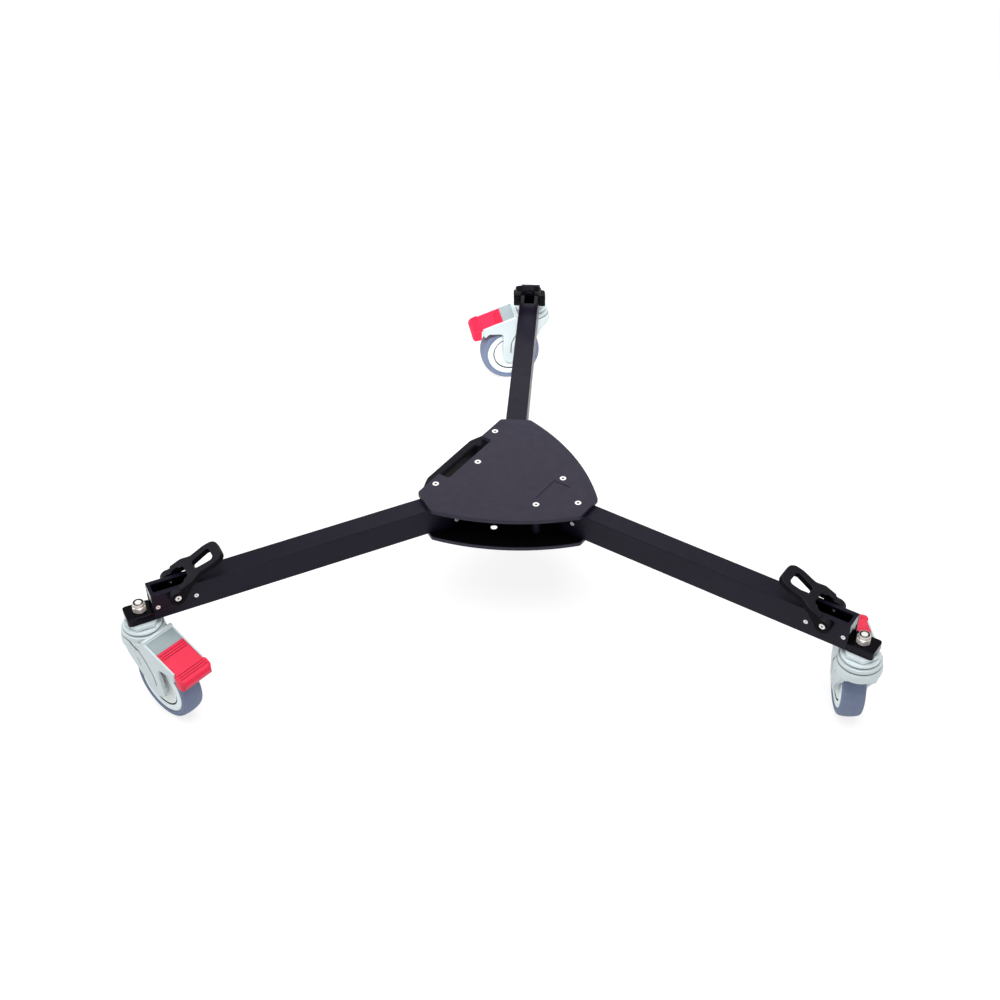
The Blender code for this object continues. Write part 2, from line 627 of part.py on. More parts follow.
def bail_screw():
    """Shoulder screw of the bail along Z; Z = 0 is the ear's outer face and the shaft points down."""
    head_top = -BAIL_SCREW_RECESS
    head_bottom = head_top - BAIL_SCREW_HEAD_DEPTH
    tip = -(EAR_OUTER - TUBE_WIDTH / 2 + TUBE_WALL + BAIL_SCREW_REACH_IN)
    profile = [(0.0, head_top), (BAIL_SCREW_HEAD_RADIUS, head_top), (BAIL_SCREW_HEAD_RADIUS, head_bottom),
               (BAIL_SCREW_RADIUS, head_bottom), (BAIL_SCREW_RADIUS, tip), (0.0, tip)]
    socket = rod(0.0023, 0.004, 6, centre=(0.0, 0.0, head_top))
    return carved(turned(profile, 8), ("DIFFERENCE", socket))


def stem_nut():
    """Self-locking nut standing on the caster platform; Z = 0 is its seat."""
    across_corners = NUT_ACROSS_FLATS / math.cos(math.radians(30))
    hexagon = rod(across_corners / 2, NUT_HEX_HEIGHT, 6, centre=(0.0, 0.0, NUT_HEX_HEIGHT / 2))
    collar = turned([(0.0, NUT_HEIGHT), (NUT_COLLAR_RADIUS - 0.0012, NUT_HEIGHT),
                     (NUT_COLLAR_RADIUS, NUT_HEIGHT - 0.0014), (NUT_COLLAR_RADIUS, 0.004), (0.0, 0.004)], 14)
    bore = rod(STEM_RADIUS + FIT_GAP, 0.06, 12)
    return tidied(carved(hexagon, ("UNION", collar), ("DIFFERENCE", bore)))


def caster_stem():
    """Caster stem: threaded shaft, spanner flange and the spigot that the housing turns on."""
    top = PLATFORM_HEIGHT + FIT_GAP + NUT_HEIGHT + STEM_STANDS_PROUD
    profile = [(0.0, top), (STEM_RADIUS, top), (STEM_RADIUS, FLANGE_TOP - 0.002), (SPIGOT_RADIUS, FLANGE_TOP - 0.002),
               (SPIGOT_RADIUS, -SPIGOT_DEPTH), (0.0, -SPIGOT_DEPTH)]
    corner = FLANGE_ACROSS_FLATS / 2 / math.cos(math.radians(30))
    hexagon = [(*polar(corner, 60 * i), 0.0015) for i in range(6)]
    flange = extruded([rounded(hexagon, 60)], FLANGE_HEIGHT)
    flange = shifted(flange, z=(FLANGE_TOP + FLANGE_BOTTOM) / 2)
    return tidied(carved(turned(profile, 12), ("UNION", flange)))


def swivel_ring():
    """Ring between the spanner flange and the housing's collar."""
    bore = SPIGOT_RADIUS + FIT_GAP
    profile = [(bore, RING_TOP), (RING_RADIUS, RING_TOP), (RING_RADIUS, RING_BOTTOM), (bore, RING_BOTTOM)]
    return turned(profile, 24, ring=True)


def tail_height(x):
    """Height of the housing's sloping tail at a distance along the trail."""
    return RIDGE_TOP - RIDGE_STEP - (x - RIDGE_END) * math.tan(TAIL_SLOPE)


def housing_outline():
    """Side outline of the housing's cheeks: shoulder, ridge, sloping tail and fork leg."""
    left = FORK_FRONT
    right = TRAIL + FORK_END_RADIUS
    foot = -AXLE_DROP - FORK_END_RADIUS
    round_end = FORK_END_RADIUS - 0.0001
    corner = HOUSING_CORNER_RADIUS
    return rounded([
        (-0.015, SHOULDER_TOP, corner), (-0.015, -0.038, 0.006), (-0.009, -0.052, 0.008),
        (0.006, -0.069, 0.012), (left, -0.088, 0.010), (left, foot, round_end), (right, foot, round_end),
        (right, -0.0455, 0.006), (*RAIL_NECK, 0.003), (*RAIL_HOOK, corner),
        (TAIL_END, -0.044, corner), (TAIL_END, tail_height(TAIL_END), corner),
        (0.025, tail_height(0.025), corner), (0.022, SHOULDER_TOP, 0.0)], 36)


def housing_ridge():
    """Ridge across the housing where the sloping tail begins."""
    low = tail_height(RIDGE_END) - 0.002
    outline = [(RIDGE_START - 0.0025, low), (RIDGE_END, low), (RIDGE_END, RIDGE_TOP), (RIDGE_START, RIDGE_TOP)]
    ridge = extruded([outline], 2 * HOUSING_HALF_WIDTH - 0.0012)
    return moved(ridge, side_profile())


def caster_housing():
    """Moulded housing: turned collar and dome, two fork cheeks and the opening for the pedal."""
    width = 2 * HOUSING_HALF_WIDTH
    cheeks = moved(extruded([housing_outline()], width, HOUSING_EDGE_RADIUS), side_profile())
    dome = turned([(0.0, COLLAR_TOP), (COLLAR_RADIUS - 0.0012, COLLAR_TOP), (COLLAR_RADIUS, COLLAR_TOP - 0.0012),
                   (COLLAR_RADIUS, COLLAR_BOTTOM), (DOME_RADIUS - 0.0004, COLLAR_BOTTOM - 0.004),
                   (DOME_RADIUS, APRON_BOTTOM + 0.004), (DOME_RADIUS - 0.0008, APRON_BOTTOM - 0.001),
                   (DOME_RADIUS - 0.0065, DOME_BOTTOM),
                   (0.0, DOME_BOTTOM)], 24)
    steps = [("DIFFERENCE", fork_taper(side)) for side in (-1, 1)]
    steps += [("UNION", dome), ("UNION", housing_ridge()), ("DIFFERENCE", wheel_well())]
    steps.append(("DIFFERENCE", pedal_opening()))
    steps.append(("DIFFERENCE", rod(SPIGOT_RADIUS + FIT_GAP, 2 * (SPIGOT_DEPTH + RUNNING_GAP), 14)))
    blind = 2 * (FORK_INNER_HALF_WIDTH + AXLE_BLIND_DEPTH)
    steps.append(("DIFFERENCE", rod(AXLE_RADIUS + FIT_GAP, blind, 12, "Y", (TRAIL, 0.0, -AXLE_DROP))))
    blind = 2 * (FORK_INNER_HALF_WIDTH + PIN_BLIND_DEPTH)
    pin_x, pin_z = PEDAL_PIN
    steps.append(("DIFFERENCE", rod(PEDAL_PIN_RADIUS + FIT_GAP, blind, 8, "Y", (pin_x, 0.0, pin_z))))
    return tidied(carved(cheeks, *steps))


def fork_taper(side):
    """Cutter that thins one cheek towards the foot of its leg."""
    foot = -AXLE_DROP - FORK_END_RADIUS - 0.005
    face = HOUSING_HALF_WIDTH
    outline = [(side * face, FORK_TAPER_START), (side * (face - FORK_TAPER), foot),
               (side * (face + 0.01), foot), (side * (face + 0.01), FORK_TAPER_START)]
    wedge = extruded([outline], 0.3)
    return moved(wedge, Matrix.Rotation(math.pi / 2, 4, "Z") @ Matrix.Rotation(math.pi / 2, 4, "X"))


def wheel_well():
    """Cutter for the room between the fork cheeks, open below and behind."""
    roof_end = PEDAL_START - FIT_GAP
    under = ROOF_THICKNESS
    outline = [(-0.050, APRON_BOTTOM), (0.024, APRON_BOTTOM), (RIDGE_END + 0.002, tail_height(RIDGE_END) - under),
               (roof_end + 0.001, tail_height(roof_end) - under), (0.100, tail_height(0.100) - under),
               (0.100, -0.130), (-0.050, -0.130)]
    return moved(extruded([outline], 2 * FORK_INNER_HALF_WIDTH), side_profile())


def pedal_opening():
    """Cutter for the pedal between the tail's side rails, deep enough for the pedal's travel."""
    start = PEDAL_START - FIT_GAP
    top = tail_height(start)
    slant = math.tan(TAIL_SLOPE)
    floor_start = top - PEDAL_THICKNESS - 0.002
    floor_end = tail_height(0.095) - PEDAL_THICKNESS - 0.0085
    outline = [(start - top * slant, 0.0), (start + (floor_start - top) * slant, floor_start),
               (0.095, floor_end), (0.095, 0.0)]
    return moved(extruded([outline], 2 * (PEDAL_HALF_WIDTH + FIT_GAP)), side_profile())


def wheel_axle():
    """Axle across the fork, held in blind bores of the cheeks."""
    half = FORK_INNER_HALF_WIDTH + AXLE_BLIND_DEPTH - FIT_GAP
    return rod(AXLE_RADIUS, 2 * half, 12, "Y")


def wheel_rim():
    """Rim with a round recess on each side and a broad flat ring that carries the tyre."""
    face = RIM_HALF_WIDTH
    recess = face - GUARD_INSET - GUARD_DEPTH - FIT_GAP
    profile = [(AXLE_RADIUS + FIT_GAP, recess), (RIM_LIP_RADIUS, recess), (RIM_LIP_RADIUS, face), (RIM_RADIUS, face)]
    profile += [(radius, -height) for radius, height in reversed(profile)]
    return moved(turned(profile, 24, ring=True), toward("Y"))


def tyre():
    """Tyre with a crowned tread and round shoulders."""
    bore = RIM_RADIUS + FIT_GAP
    shoulder = TYRE_SHOULDER
    half = TREAD_HALF_WIDTH
    upper = [(bore, RIM_HALF_WIDTH), (WHEEL_RADIUS - shoulder, half), (WHEEL_RADIUS - 0.0010, half - 0.0045)]
    profile = upper + [(WHEEL_RADIUS, 0.0)] + [(radius, -height) for radius, height in reversed(upper)]
    return moved(turned(profile, 28, ring=True), toward("Y"))


def thread_guard(side):
    """Dished disc that closes the rim on one side."""
    face = RIM_HALF_WIDTH - GUARD_INSET
    back = face - GUARD_DEPTH
    bore = AXLE_RADIUS + FIT_GAP
    edge = RIM_LIP_RADIUS - RUNNING_GAP
    profile = [(bore, face), (edge, face), (edge, back), (bore, back)]
    guard = moved(turned(profile, 20, ring=True), toward("Y"))
    if side < 0:
        guard = moved(guard, Matrix.Rotation(math.pi, 4, "Z"))
    return guard


def pressed_back(x, z):
    """Where a point of the pressed pedal lies when the pedal is at rest."""
    turn = Matrix.Rotation(PEDAL_TRAVEL, 2)
    rest = turn @ Vector((x - PEDAL_PIN[0], z - PEDAL_PIN[1]))
    return (rest[0] + PEDAL_PIN[0], rest[1] + PEDAL_PIN[1])


def brake_pedal():
    """Pedal plate with its notch, ribs, down-turned lip, pin boss and brake shoe."""
    slope = Matrix.Rotation(TAIL_SLOPE, 4, "Y")
    length = (PEDAL_END - 0.002 - PEDAL_START) / math.cos(TAIL_SLOPE)
    wide = (PEDAL_WIDE_START - PEDAL_START) / math.cos(TAIL_SLOPE)
    plan = rounded(mirrored([(0.0, PEDAL_HALF_WIDTH, 0.0012), (wide, PEDAL_HALF_WIDTH, 0.0012),
                             (wide + 0.0015, PEDAL_WIDE_HALF_WIDTH, 0.0025),
                             (length, PEDAL_WIDE_HALF_WIDTH, 0.006)]), 45)
    plate = shifted(extruded([plan], PEDAL_THICKNESS, 0.0007), z=-PEDAL_THICKNESS / 2)
    start = (PEDAL_START, 0.0, tail_height(PEDAL_START))
    plate = moved(plate, Matrix.Translation(start) @ slope)
    steps = [("UNION", pedal_cap()), ("UNION", pedal_boss())]
    for place, half_width in pedal_rib_places(length):
        rib = rounded([(place, -half_width, 0.0), (place + PEDAL_RIB_WIDTH, -half_width, 0.0),
                       (place + PEDAL_RIB_WIDTH, half_width, 0.0), (place, half_width, 0.0)])
        bar = extruded([rib], 2 * PEDAL_RIB_HEIGHT)
        steps.append(("UNION", moved(bar, Matrix.Translation(start) @ slope)))
    bore = rod(PEDAL_PIN_RADIUS + FIT_GAP, 0.06, 8, "Y", (PEDAL_PIN[0], 0.0, PEDAL_PIN[1]))
    steps.append(("DIFFERENCE", bore))
    return shifted(tidied(carved(plate, *steps)), -PEDAL_PIN[0], 0.0, -PEDAL_PIN[1])


def pedal_rib_places(length):
    """Distance along the pedal and half width of each raised grip rib."""
    narrow = PEDAL_HALF_WIDTH - 0.001
    broad = PEDAL_WIDE_HALF_WIDTH - 0.003
    return [(0.0022, narrow), (0.0060, narrow), (length - 0.0135, broad), (length - 0.0100, broad),
            (length - 0.0065, broad)]


def pedal_cap():
    """Deep end of the pedal that the shoe sole presses, with round lower corners."""
    end = PEDAL_END
    start = PEDAL_WIDE_START
    top = tail_height(end)
    low = top - PEDAL_CAP_DROP
    under = tail_height(start + 0.002) - 0.002
    outline = rounded([(start, under, 0.0), (start + 0.0005, low + 0.002, 0.004), (end - 0.003, low, 0.005),
                       (end, top - 0.001, 0.003), (end - 0.007, tail_height(end - 0.007), 0.0)], 40)
    half = PEDAL_WIDE_HALF_WIDTH
    cap = moved(extruded([outline], 2 * half, 0.0015), side_profile())
    plan = rounded(mirrored([(start - 0.01, half + 0.001, 0.0), (start, half, 0.0), (end, half, 0.007)]), 30)
    return carved(cap, ("INTERSECT", extruded([plan], 0.3)))


def pedal_boss():
    """Boss round the pedal's pin with the brake shoe beside it."""
    x, z = PEDAL_PIN
    reach = WHEEL_RADIUS + SHOE_GAP_WHEN_PRESSED
    shoe = [pressed_back(*polar(reach, angle, (TRAIL, -AXLE_DROP))) for angle in SHOE_ANGLES]
    roof = -PEDAL_THICKNESS / 2
    outline = [(x - PEDAL_BOSS_RADIUS, tail_height(x - PEDAL_BOSS_RADIUS) + roof)]
    outline += arc((x, z), PEDAL_BOSS_RADIUS, 180, 250, 4)
    outline += shoe
    outline += [(shoe[1][0] + 0.002, tail_height(shoe[1][0] + 0.002) + roof)]
    return moved(extruded([outline], 2 * PEDAL_BOSS_HALF_WIDTH), side_profile())


def pedal_pin():
    """Pin of the pedal, held in blind bores of the cheeks."""
    half = FORK_INNER_HALF_WIDTH + PIN_BLIND_DEPTH - FIT_GAP
    return rod(PEDAL_PIN_RADIUS, 2 * half, 8, "Y")


def material(name, colour, roughness, metallic=0.0):
    """Plain surface material."""
    surface = bpy.data.materials.new(name)
    surface.use_nodes = True
    shader = surface.node_tree.nodes["Principled BSDF"]
    shader.inputs["Base Color"].default_value = (*colour, 1.0)
    shader.inputs["Roughness"].default_value = roughness
    shader.inputs["Metallic"].default_value = metallic
    surface.diffuse_color = (*colour, 1.0)
    return surface


def shaded(mesh, angle=35.0):
    """The same mesh with smooth round faces and sharp edges."""
    mesh.shade_smooth()
    mesh.set_sharp_from_angle(angle=math.radians(angle))
    return mesh


def place(name, mesh, surface, parent=None, location=(0.0, 0.0, 0.0), rotation=(0.0, 0.0, 0.0)):
    """Named sub-part in the parts collection, with its own copy of its material."""
    obj = bpy.data.objects.new(name, mesh)
    obj.parent = parent
    obj.location = location
    obj.rotation_euler = rotation
    if not mesh.materials:
        mesh.materials.append(None)
    own = surface.copy()
    own.name = name
    obj.material_slots[0].link = "OBJECT"
    obj.material_slots[0].material = own
    PARTS.objects.link(obj)
    return obj


def frame(name, parent=None, location=(0.0, 0.0, 0.0), rotation=(0.0, 0.0, 0.0)):
    """Empty on a joint's axis."""
    empty = bpy.data.objects.new(name, None)
    empty.parent = parent
    empty.location = location
    empty.rotation_euler = rotation
    empty.empty_display_size = 0.02
    PARTS.objects.link(empty)
    return empty


def build_hub(surfaces):
    """Plates, handle, posts and bolts of the hub."""
    place("top_plate", shaded(top_plate()), surfaces["plate"])
    place("bottom_plate", shaded(bottom_plate()), surfaces["plate"])
    place("carry_handle", shaded(carry_handle()), surfaces["casting"])
    post = shaded(spacer_post())
    for name, side in (("spacer_post_left", 1), ("spacer_post_right", -1)):
        place(name, post, surfaces["plate"], location=(POST_REACH, side * POST_SPREAD, TUBE_MIDDLE))
    bolt = shaded(pivot_bolt())
    for arm, angle in ARM_ANGLES.items():
        x, y = polar(RADIUS_PIVOT, angle)
        place(f"{arm}_pivot_bolt", bolt, surfaces["steel"], location=(x, y, 0.0))


def build_arm(arm, meshes, surfaces):
    """One arm with its foot bail and caster, turned to its angle about its pivot."""
    angle = ARM_ANGLES[arm]
    x, y = polar(RADIUS_PIVOT, angle)
    pivot = frame(f"{arm}_arm_axis", location=(x, y, 0.0), rotation=(0.0, 0.0, math.radians(angle)))
    place(f"{arm}_arm_tube", meshes["tube"], surfaces["anodised"], pivot)
    place(f"{arm}_hinge_block", meshes["hinge_block"], surfaces["casting"], pivot)
    place(f"{arm}_end_block", meshes["end_block"], surfaces["block"], pivot)
    stem_x = along(RADIUS_STEM)
    nut_z = TUBE_BOTTOM + PLATFORM_HEIGHT + FIT_GAP
    place(f"{arm}_stem_nut", meshes["nut"], surfaces["bright"], pivot, (stem_x, 0.0, nut_z),
          (0.0, 0.0, math.radians(12.0)))
    place(f"{arm}_caster_stem", meshes["stem"], surfaces["flange"], pivot, (stem_x, 0.0, TUBE_BOTTOM))
    for name, side in (("a", 1), ("b", -1)):
        place(f"{arm}_bail_screw_{name}", meshes["bail_screw"], surfaces["bright"], pivot,
              (along(RADIUS_BAIL), side * EAR_OUTER, BAIL_PIVOT_Z), (-side * math.pi / 2, 0.0, 0.0))
    bail_axis = frame(f"{arm}_bail_axis", pivot, (along(RADIUS_BAIL), 0.0, BAIL_PIVOT_Z),
                      (0.0, -BAIL_LEAN - math.radians(BAIL_LIFTS[arm]), math.pi))
    place(f"{arm}_foot_bail", meshes["bail"], surfaces["moulded"], bail_axis)
    build_caster(arm, meshes, surfaces, pivot)


def build_caster(arm, meshes, surfaces, pivot):
    """Swivelling caster at an arm's end."""
    turn = math.radians(SWIVEL_ANGLES[arm] - ARM_ANGLES[arm])
    swivel = frame(f"{arm}_swivel_axis", pivot, (along(RADIUS_STEM), 0.0, TUBE_BOTTOM), (0.0, 0.0, turn))
    place(f"{arm}_swivel_ring", meshes["ring"], surfaces["flange"], swivel)
    place(f"{arm}_caster_housing", meshes["housing"], surfaces["housing"], swivel)
    axle = frame(f"{arm}_wheel_axis", swivel, (TRAIL, 0.0, -AXLE_DROP))
    place(f"{arm}_wheel_axle", meshes["axle"], surfaces["steel"], axle)
    place(f"{arm}_wheel_rim", meshes["rim"], surfaces["rim"], axle)
    place(f"{arm}_tyre", meshes["tyre"], surfaces["tyre"], axle)
    place(f"{arm}_thread_guard_a", meshes["guard_a"], surfaces["guard"], axle)
    place(f"{arm}_thread_guard_b", meshes["guard_b"], surfaces["guard"], axle)
    pin = frame(f"{arm}_pedal_axis", swivel, (PEDAL_PIN[0], 0.0, PEDAL_PIN[1]))
    place(f"{arm}_brake_pedal", meshes["pedal"], surfaces["pedal"], pin)
    place(f"{arm}_pedal_pin", meshes["pin"], surfaces["steel"], pin)


def arm_meshes():
    """Meshes that the three arms share."""
    shapes = {
        "tube": arm_tube(), "hinge_block": hinge_block(), "end_block": end_block(), "nut": stem_nut(),
        "stem": caster_stem(), "bail": foot_bail(), "bail_screw": bail_screw(), "ring": swivel_ring(),
        "housing": caster_housing(), "axle": wheel_axle(), "rim": wheel_rim(), "tyre": tyre(),
        "guard_a": thread_guard(1), "guard_b": thread_guard(-1), "pedal": brake_pedal(), "pin": pedal_pin(),
    }
    return {name: shaded(mesh) for name, mesh in shapes.items()}


def make_surfaces():
    """Colours of the real finishes."""
    return {
        "plate": material("plate_black", (0.045, 0.042, 0.055), 0.45, 0.4),
        "anodised": material("tube_black", (0.040, 0.038, 0.050), 0.42, 0.4),
        "casting": material("casting_black", (0.030, 0.029, 0.036), 0.55, 0.2),
        "block": material("block_black", (0.012, 0.012, 0.014), 0.18),
        "moulded": material("moulded_black", (0.014, 0.014, 0.016), 0.50),
        "bright": material("bright_steel", (0.75, 0.75, 0.74), 0.22, 1.0),
        "steel": material("plated_steel", (0.55, 0.55, 0.56), 0.35, 1.0),
        "flange": material("flange_grey", (0.60, 0.66, 0.67), 0.45),
        "housing": material("housing_grey", (0.58, 0.65, 0.66), 0.45),
        "rim": material("rim_pale", (0.74, 0.79, 0.82), 0.40),
        "guard": material("guard_grey", (0.58, 0.62, 0.60), 0.50),
        "tyre": material("tyre_grey", (0.17, 0.19, 0.27), 0.60),
        "pedal": material("pedal_red", (0.90, 0.035, 0.08), 0.40),
    }


def main():
    """Builds the dolly in an emptied scene."""
    for obj in list(bpy.data.objects):
        bpy.data.objects.remove(obj)
    bpy.context.scene.collection.children.link(PARTS)
    bpy.context.scene.collection.children.link(CONSTRUCTION)
    surfaces = make_surfaces()
    build_hub(surfaces)
    meshes = arm_meshes()
    for arm in ARM_ANGLES:
        build_arm(arm, meshes, surfaces)
    bpy.context.view_layer.update()


main()
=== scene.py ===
import json
import math

import bmesh
import bpy
from mathutils import Matrix, Vector
from mathutils.bvhtree import BVHTree

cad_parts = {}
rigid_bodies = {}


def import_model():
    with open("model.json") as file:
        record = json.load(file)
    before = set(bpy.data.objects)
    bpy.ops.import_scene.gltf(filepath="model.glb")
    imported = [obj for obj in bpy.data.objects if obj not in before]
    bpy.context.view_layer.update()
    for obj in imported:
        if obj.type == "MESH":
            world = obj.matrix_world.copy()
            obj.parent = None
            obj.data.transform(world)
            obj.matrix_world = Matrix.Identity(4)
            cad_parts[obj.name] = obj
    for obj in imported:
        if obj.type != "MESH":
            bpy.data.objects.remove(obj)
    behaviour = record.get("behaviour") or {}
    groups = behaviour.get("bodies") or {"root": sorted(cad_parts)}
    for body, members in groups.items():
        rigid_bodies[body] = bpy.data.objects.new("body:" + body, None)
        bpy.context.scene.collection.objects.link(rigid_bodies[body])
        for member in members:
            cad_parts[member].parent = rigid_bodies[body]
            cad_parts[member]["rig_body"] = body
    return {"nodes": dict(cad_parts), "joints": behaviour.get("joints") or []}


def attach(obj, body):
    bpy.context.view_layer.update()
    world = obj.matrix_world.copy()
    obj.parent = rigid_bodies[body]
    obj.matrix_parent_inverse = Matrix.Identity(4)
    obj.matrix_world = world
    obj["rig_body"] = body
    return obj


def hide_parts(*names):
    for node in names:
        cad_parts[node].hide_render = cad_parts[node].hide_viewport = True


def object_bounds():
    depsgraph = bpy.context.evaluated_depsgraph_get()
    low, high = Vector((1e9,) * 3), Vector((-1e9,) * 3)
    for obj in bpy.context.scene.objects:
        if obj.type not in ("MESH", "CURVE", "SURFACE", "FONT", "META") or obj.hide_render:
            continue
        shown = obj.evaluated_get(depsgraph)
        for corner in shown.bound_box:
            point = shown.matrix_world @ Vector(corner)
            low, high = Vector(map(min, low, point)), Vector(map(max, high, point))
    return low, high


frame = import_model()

CAD_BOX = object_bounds()
JOINTS = {joint["name"]: joint for joint in frame["joints"]}
ARMS = {"front": 0.0, "left": 120.0, "right": 240.0}
SIDES = (("a", 1, "Y"), ("b", -1, "-Y"))

# Sizes of the hub that the fine pieces share with the solids, in metres
GAP = 0.0003
PLATE = 0.006
TIP_REACH = 0.1295
TIP_HALF = 0.0215
TIP_RADIUS = 0.007
BULGE = 0.016
CHORD = TIP_REACH / 2 + TIP_HALF * math.cos(math.radians(30))
PIVOT = 0.095
CUTOUT_REACH = 0.066
CUTOUT_HALF = 0.052
HANDLE_SCREWS = ((0.0535, 0.0), (0.0738, 0.0723), (0.0738, -0.0723))
POST = (0.0655, 0.034)
FRONT_SCREW = 0.111
PLATE_SCREWS = [*((-reach, offset) for reach, offset in HANDLE_SCREWS), POST, (POST[0], -POST[1]),
                (FRONT_SCREW, 0.0)]
SERVICE_HOLE = (0.0137, -0.0595)

# Sizes of the arms, in metres
TUBE_W = 0.03
TUBE_H = 0.04
WALL = 0.003
TUBE_TOP = -PLATE - GAP
TUBE_BOTTOM = TUBE_TOP - TUBE_H
TUBE_MIDDLE = TUBE_TOP - TUBE_H / 2
LOW_PLATE_TOP = TUBE_BOTTOM - GAP
LOW_PLATE_BOTTOM = LOW_PLATE_TOP - PLATE
TUBE_END = 0.5135
STEM = 0.5286
BAIL = 0.4814
BAIL_Z = TUBE_BOTTOM + 0.0314
PLATFORM = 0.0117
EAR = 0.01
EAR_IN = TUBE_W / 2 + GAP
EAR_OUT = EAR_IN + EAR
SIDE_SCREW_HEAD = 0.0032
NUT_FLATS = 0.017
NUT_HIGH = 0.0128

# Sizes of the casters, in metres
FLANGE_FLATS = 0.04
FLANGE_HIGH = 0.0068
RING_HIGH = 0.0056
RING_RADIUS = 0.0252
RING_TOP = -GAP - FLANGE_HIGH - GAP
RING_BOTTOM = RING_TOP - RING_HIGH
HOUSING_TOP = RING_BOTTOM - GAP
TRAIL = 0.0376
DROP = 0.0908
HALF = 0.0245
RIDGE_END = 0.031
RIDGE_TOP = -0.0115
RIM_FACE = 0.0147
GUARD_FACE = RIM_FACE - 0.0004
GUARD_BACK = GUARD_FACE - 0.0038
PEDAL_START = 0.052
PEDAL_HALF = 0.0215
PEDAL_WIDE = 0.025
PEDAL_PIN = (0.058, -0.037)

# Angles
SLOPE = math.radians(18.0)
BAIL_LEAN = 25.3
PEDAL_TIP = 12.0
NUT_TURN = {"front": 16.0, "left": 12.0, "right": -8.0}

# Boolean steps
CUT = "DIFFERENCE"
JOIN = "UNION"
KEEP = "INTERSECT"

# Placements that stand a drawn outline upright, along X or along Y
UPRIGHT = Matrix.Rotation(math.pi / 2, 4, "X")
ACROSS = Matrix.Rotation(math.pi / 2, 4, "Z") @ UPRIGHT


# Outlines

def along(radius):
    """Distance from an arm's pivot of a place given by its radius."""
    return radius - PIVOT


def polar(radius, degrees, centre=(0.0, 0.0)):
    """Point on a circle."""
    angle = math.radians(degrees)
    return (centre[0] + radius * math.cos(angle), centre[1] + radius * math.sin(angle))


def arc(centre, radius, start, stop, count):
    """Points on an arc."""
    return [polar(radius, start + (stop - start) * i / count, centre) for i in range(count + 1)]


def hexagon_radius(flats):
    """Distance of a hexagon's corners from its middle."""
    return flats / 2 / math.cos(math.radians(30))


def rounded(corners, step=10):
    """Closed outline through (x, y, radius) corners, each corner turned into an arc."""
    outline = []
    for i, (x, y, radius) in enumerate(corners):
        here = Vector((x, y))
        if radius == 0:
            outline.append((x, y))
            continue
        before = (Vector(corners[i - 1][:2]) - here).normalized()
        after = (Vector(corners[(i + 1) % len(corners)][:2]) - here).normalized()
        turn = before.angle(after)
        reach = radius / math.tan(turn / 2)
        centre = here + (before + after).normalized() * (radius / math.sin(turn / 2))
        first = here + before * reach - centre
        last = here + after * reach - centre
        sweep = first.angle_signed(last)
        count = max(1, round(abs(math.degrees(sweep)) / step))
        for k in range(count + 1):
            outline.append(tuple(centre + Matrix.Rotation(-sweep * k / count, 2) @ first))
    return outline


def mirrored(half):
    """Closed list of corners from those on one side of y = 0."""
    return list(half) + [(x, -y, *rest) for x, y, *rest in reversed(half) if y != 0]


def rectangle(start, stop, half, corner, step):
    """Rectangle with round corners, centred on y = 0."""
    return rounded(mirrored([(start, -half, corner), (stop, -half, corner)]), step)


def smooth_line(points, per_span=8):
    """Finer points on a curve through the given ones."""
    line = []
    padded = [points[0], *points, points[-1]]
    for i in range(1, len(padded) - 2):
        p0, p1, p2, p3 = (Vector(p) for p in padded[i - 1:i + 3])
        for k in range(per_span):
            t = k / per_span
            line.append(0.5 * (2 * p1 + (p2 - p0) * t + (2 * p0 - 5 * p1 + 4 * p2 - p3) * t * t
                               + (3 * p1 - p0 - 3 * p2 + p3) * t ** 3))
    line.append(Vector(points[-1]))
    return line


# Meshes

def linked(name, data):
    """New object in the scene."""
    obj = bpy.data.objects.new(name, data)
    bpy.context.scene.collection.objects.link(obj)
    return obj


def baked(obj):
    """Mesh of an object with its modifiers; the object goes."""
    bpy.context.view_layer.update()
    graph = bpy.context.evaluated_depsgraph_get()
    mesh = bpy.data.meshes.new_from_object(obj.evaluated_get(graph))
    bpy.data.objects.remove(obj)
    shape = bmesh.new()
    shape.from_mesh(mesh)
    bmesh.ops.remove_doubles(shape, verts=shape.verts, dist=0.000002)
    bmesh.ops.dissolve_degenerate(shape, edges=shape.edges, dist=0.000002)
    bmesh.ops.recalc_face_normals(shape, faces=shape.faces)
    shape.to_mesh(mesh)
    shape.free()
    return mesh


def add_line(curve, points, closed):
    """Straight stretches through points, added to a curve."""
    spline = curve.splines.new("POLY")
    spline.points.add(len(points) - 1)
    for point, place in zip(spline.points, points):
        point.co = (*Vector(place).to_3d(), 1.0)
    spline.use_cyclic_u = closed


def extruded(outlines, depth, edge=0.0, edge_steps=2):
    """Flat outlines, the first one outside and the rest holes, extruded and centred on Z = 0."""
    curve = bpy.data.curves.new("outline", "CURVE")
    curve.dimensions = "2D"
    curve.fill_mode = "BOTH"
    curve.extrude = depth / 2 - edge
    curve.bevel_depth = edge
    curve.bevel_resolution = edge_steps
    curve.offset = -edge
    for outline in outlines:
        add_line(curve, outline, True)
    return baked(linked("helper", curve))


def slab(outline, width, edge=0.0, edge_steps=2):
    """Outline drawn in (x, height), extruded across Y = 0."""
    return moved(extruded([outline], width, edge, edge_steps), UPRIGHT)


def swept(points, radius):
    """Round bar along a line of points."""
    curve = bpy.data.curves.new("path", "CURVE")
    curve.dimensions = "3D"
    curve.bevel_depth = radius
    curve.bevel_resolution = 3
    curve.use_fill_caps = True
    add_line(curve, points, False)
    return baked(linked("helper", curve))


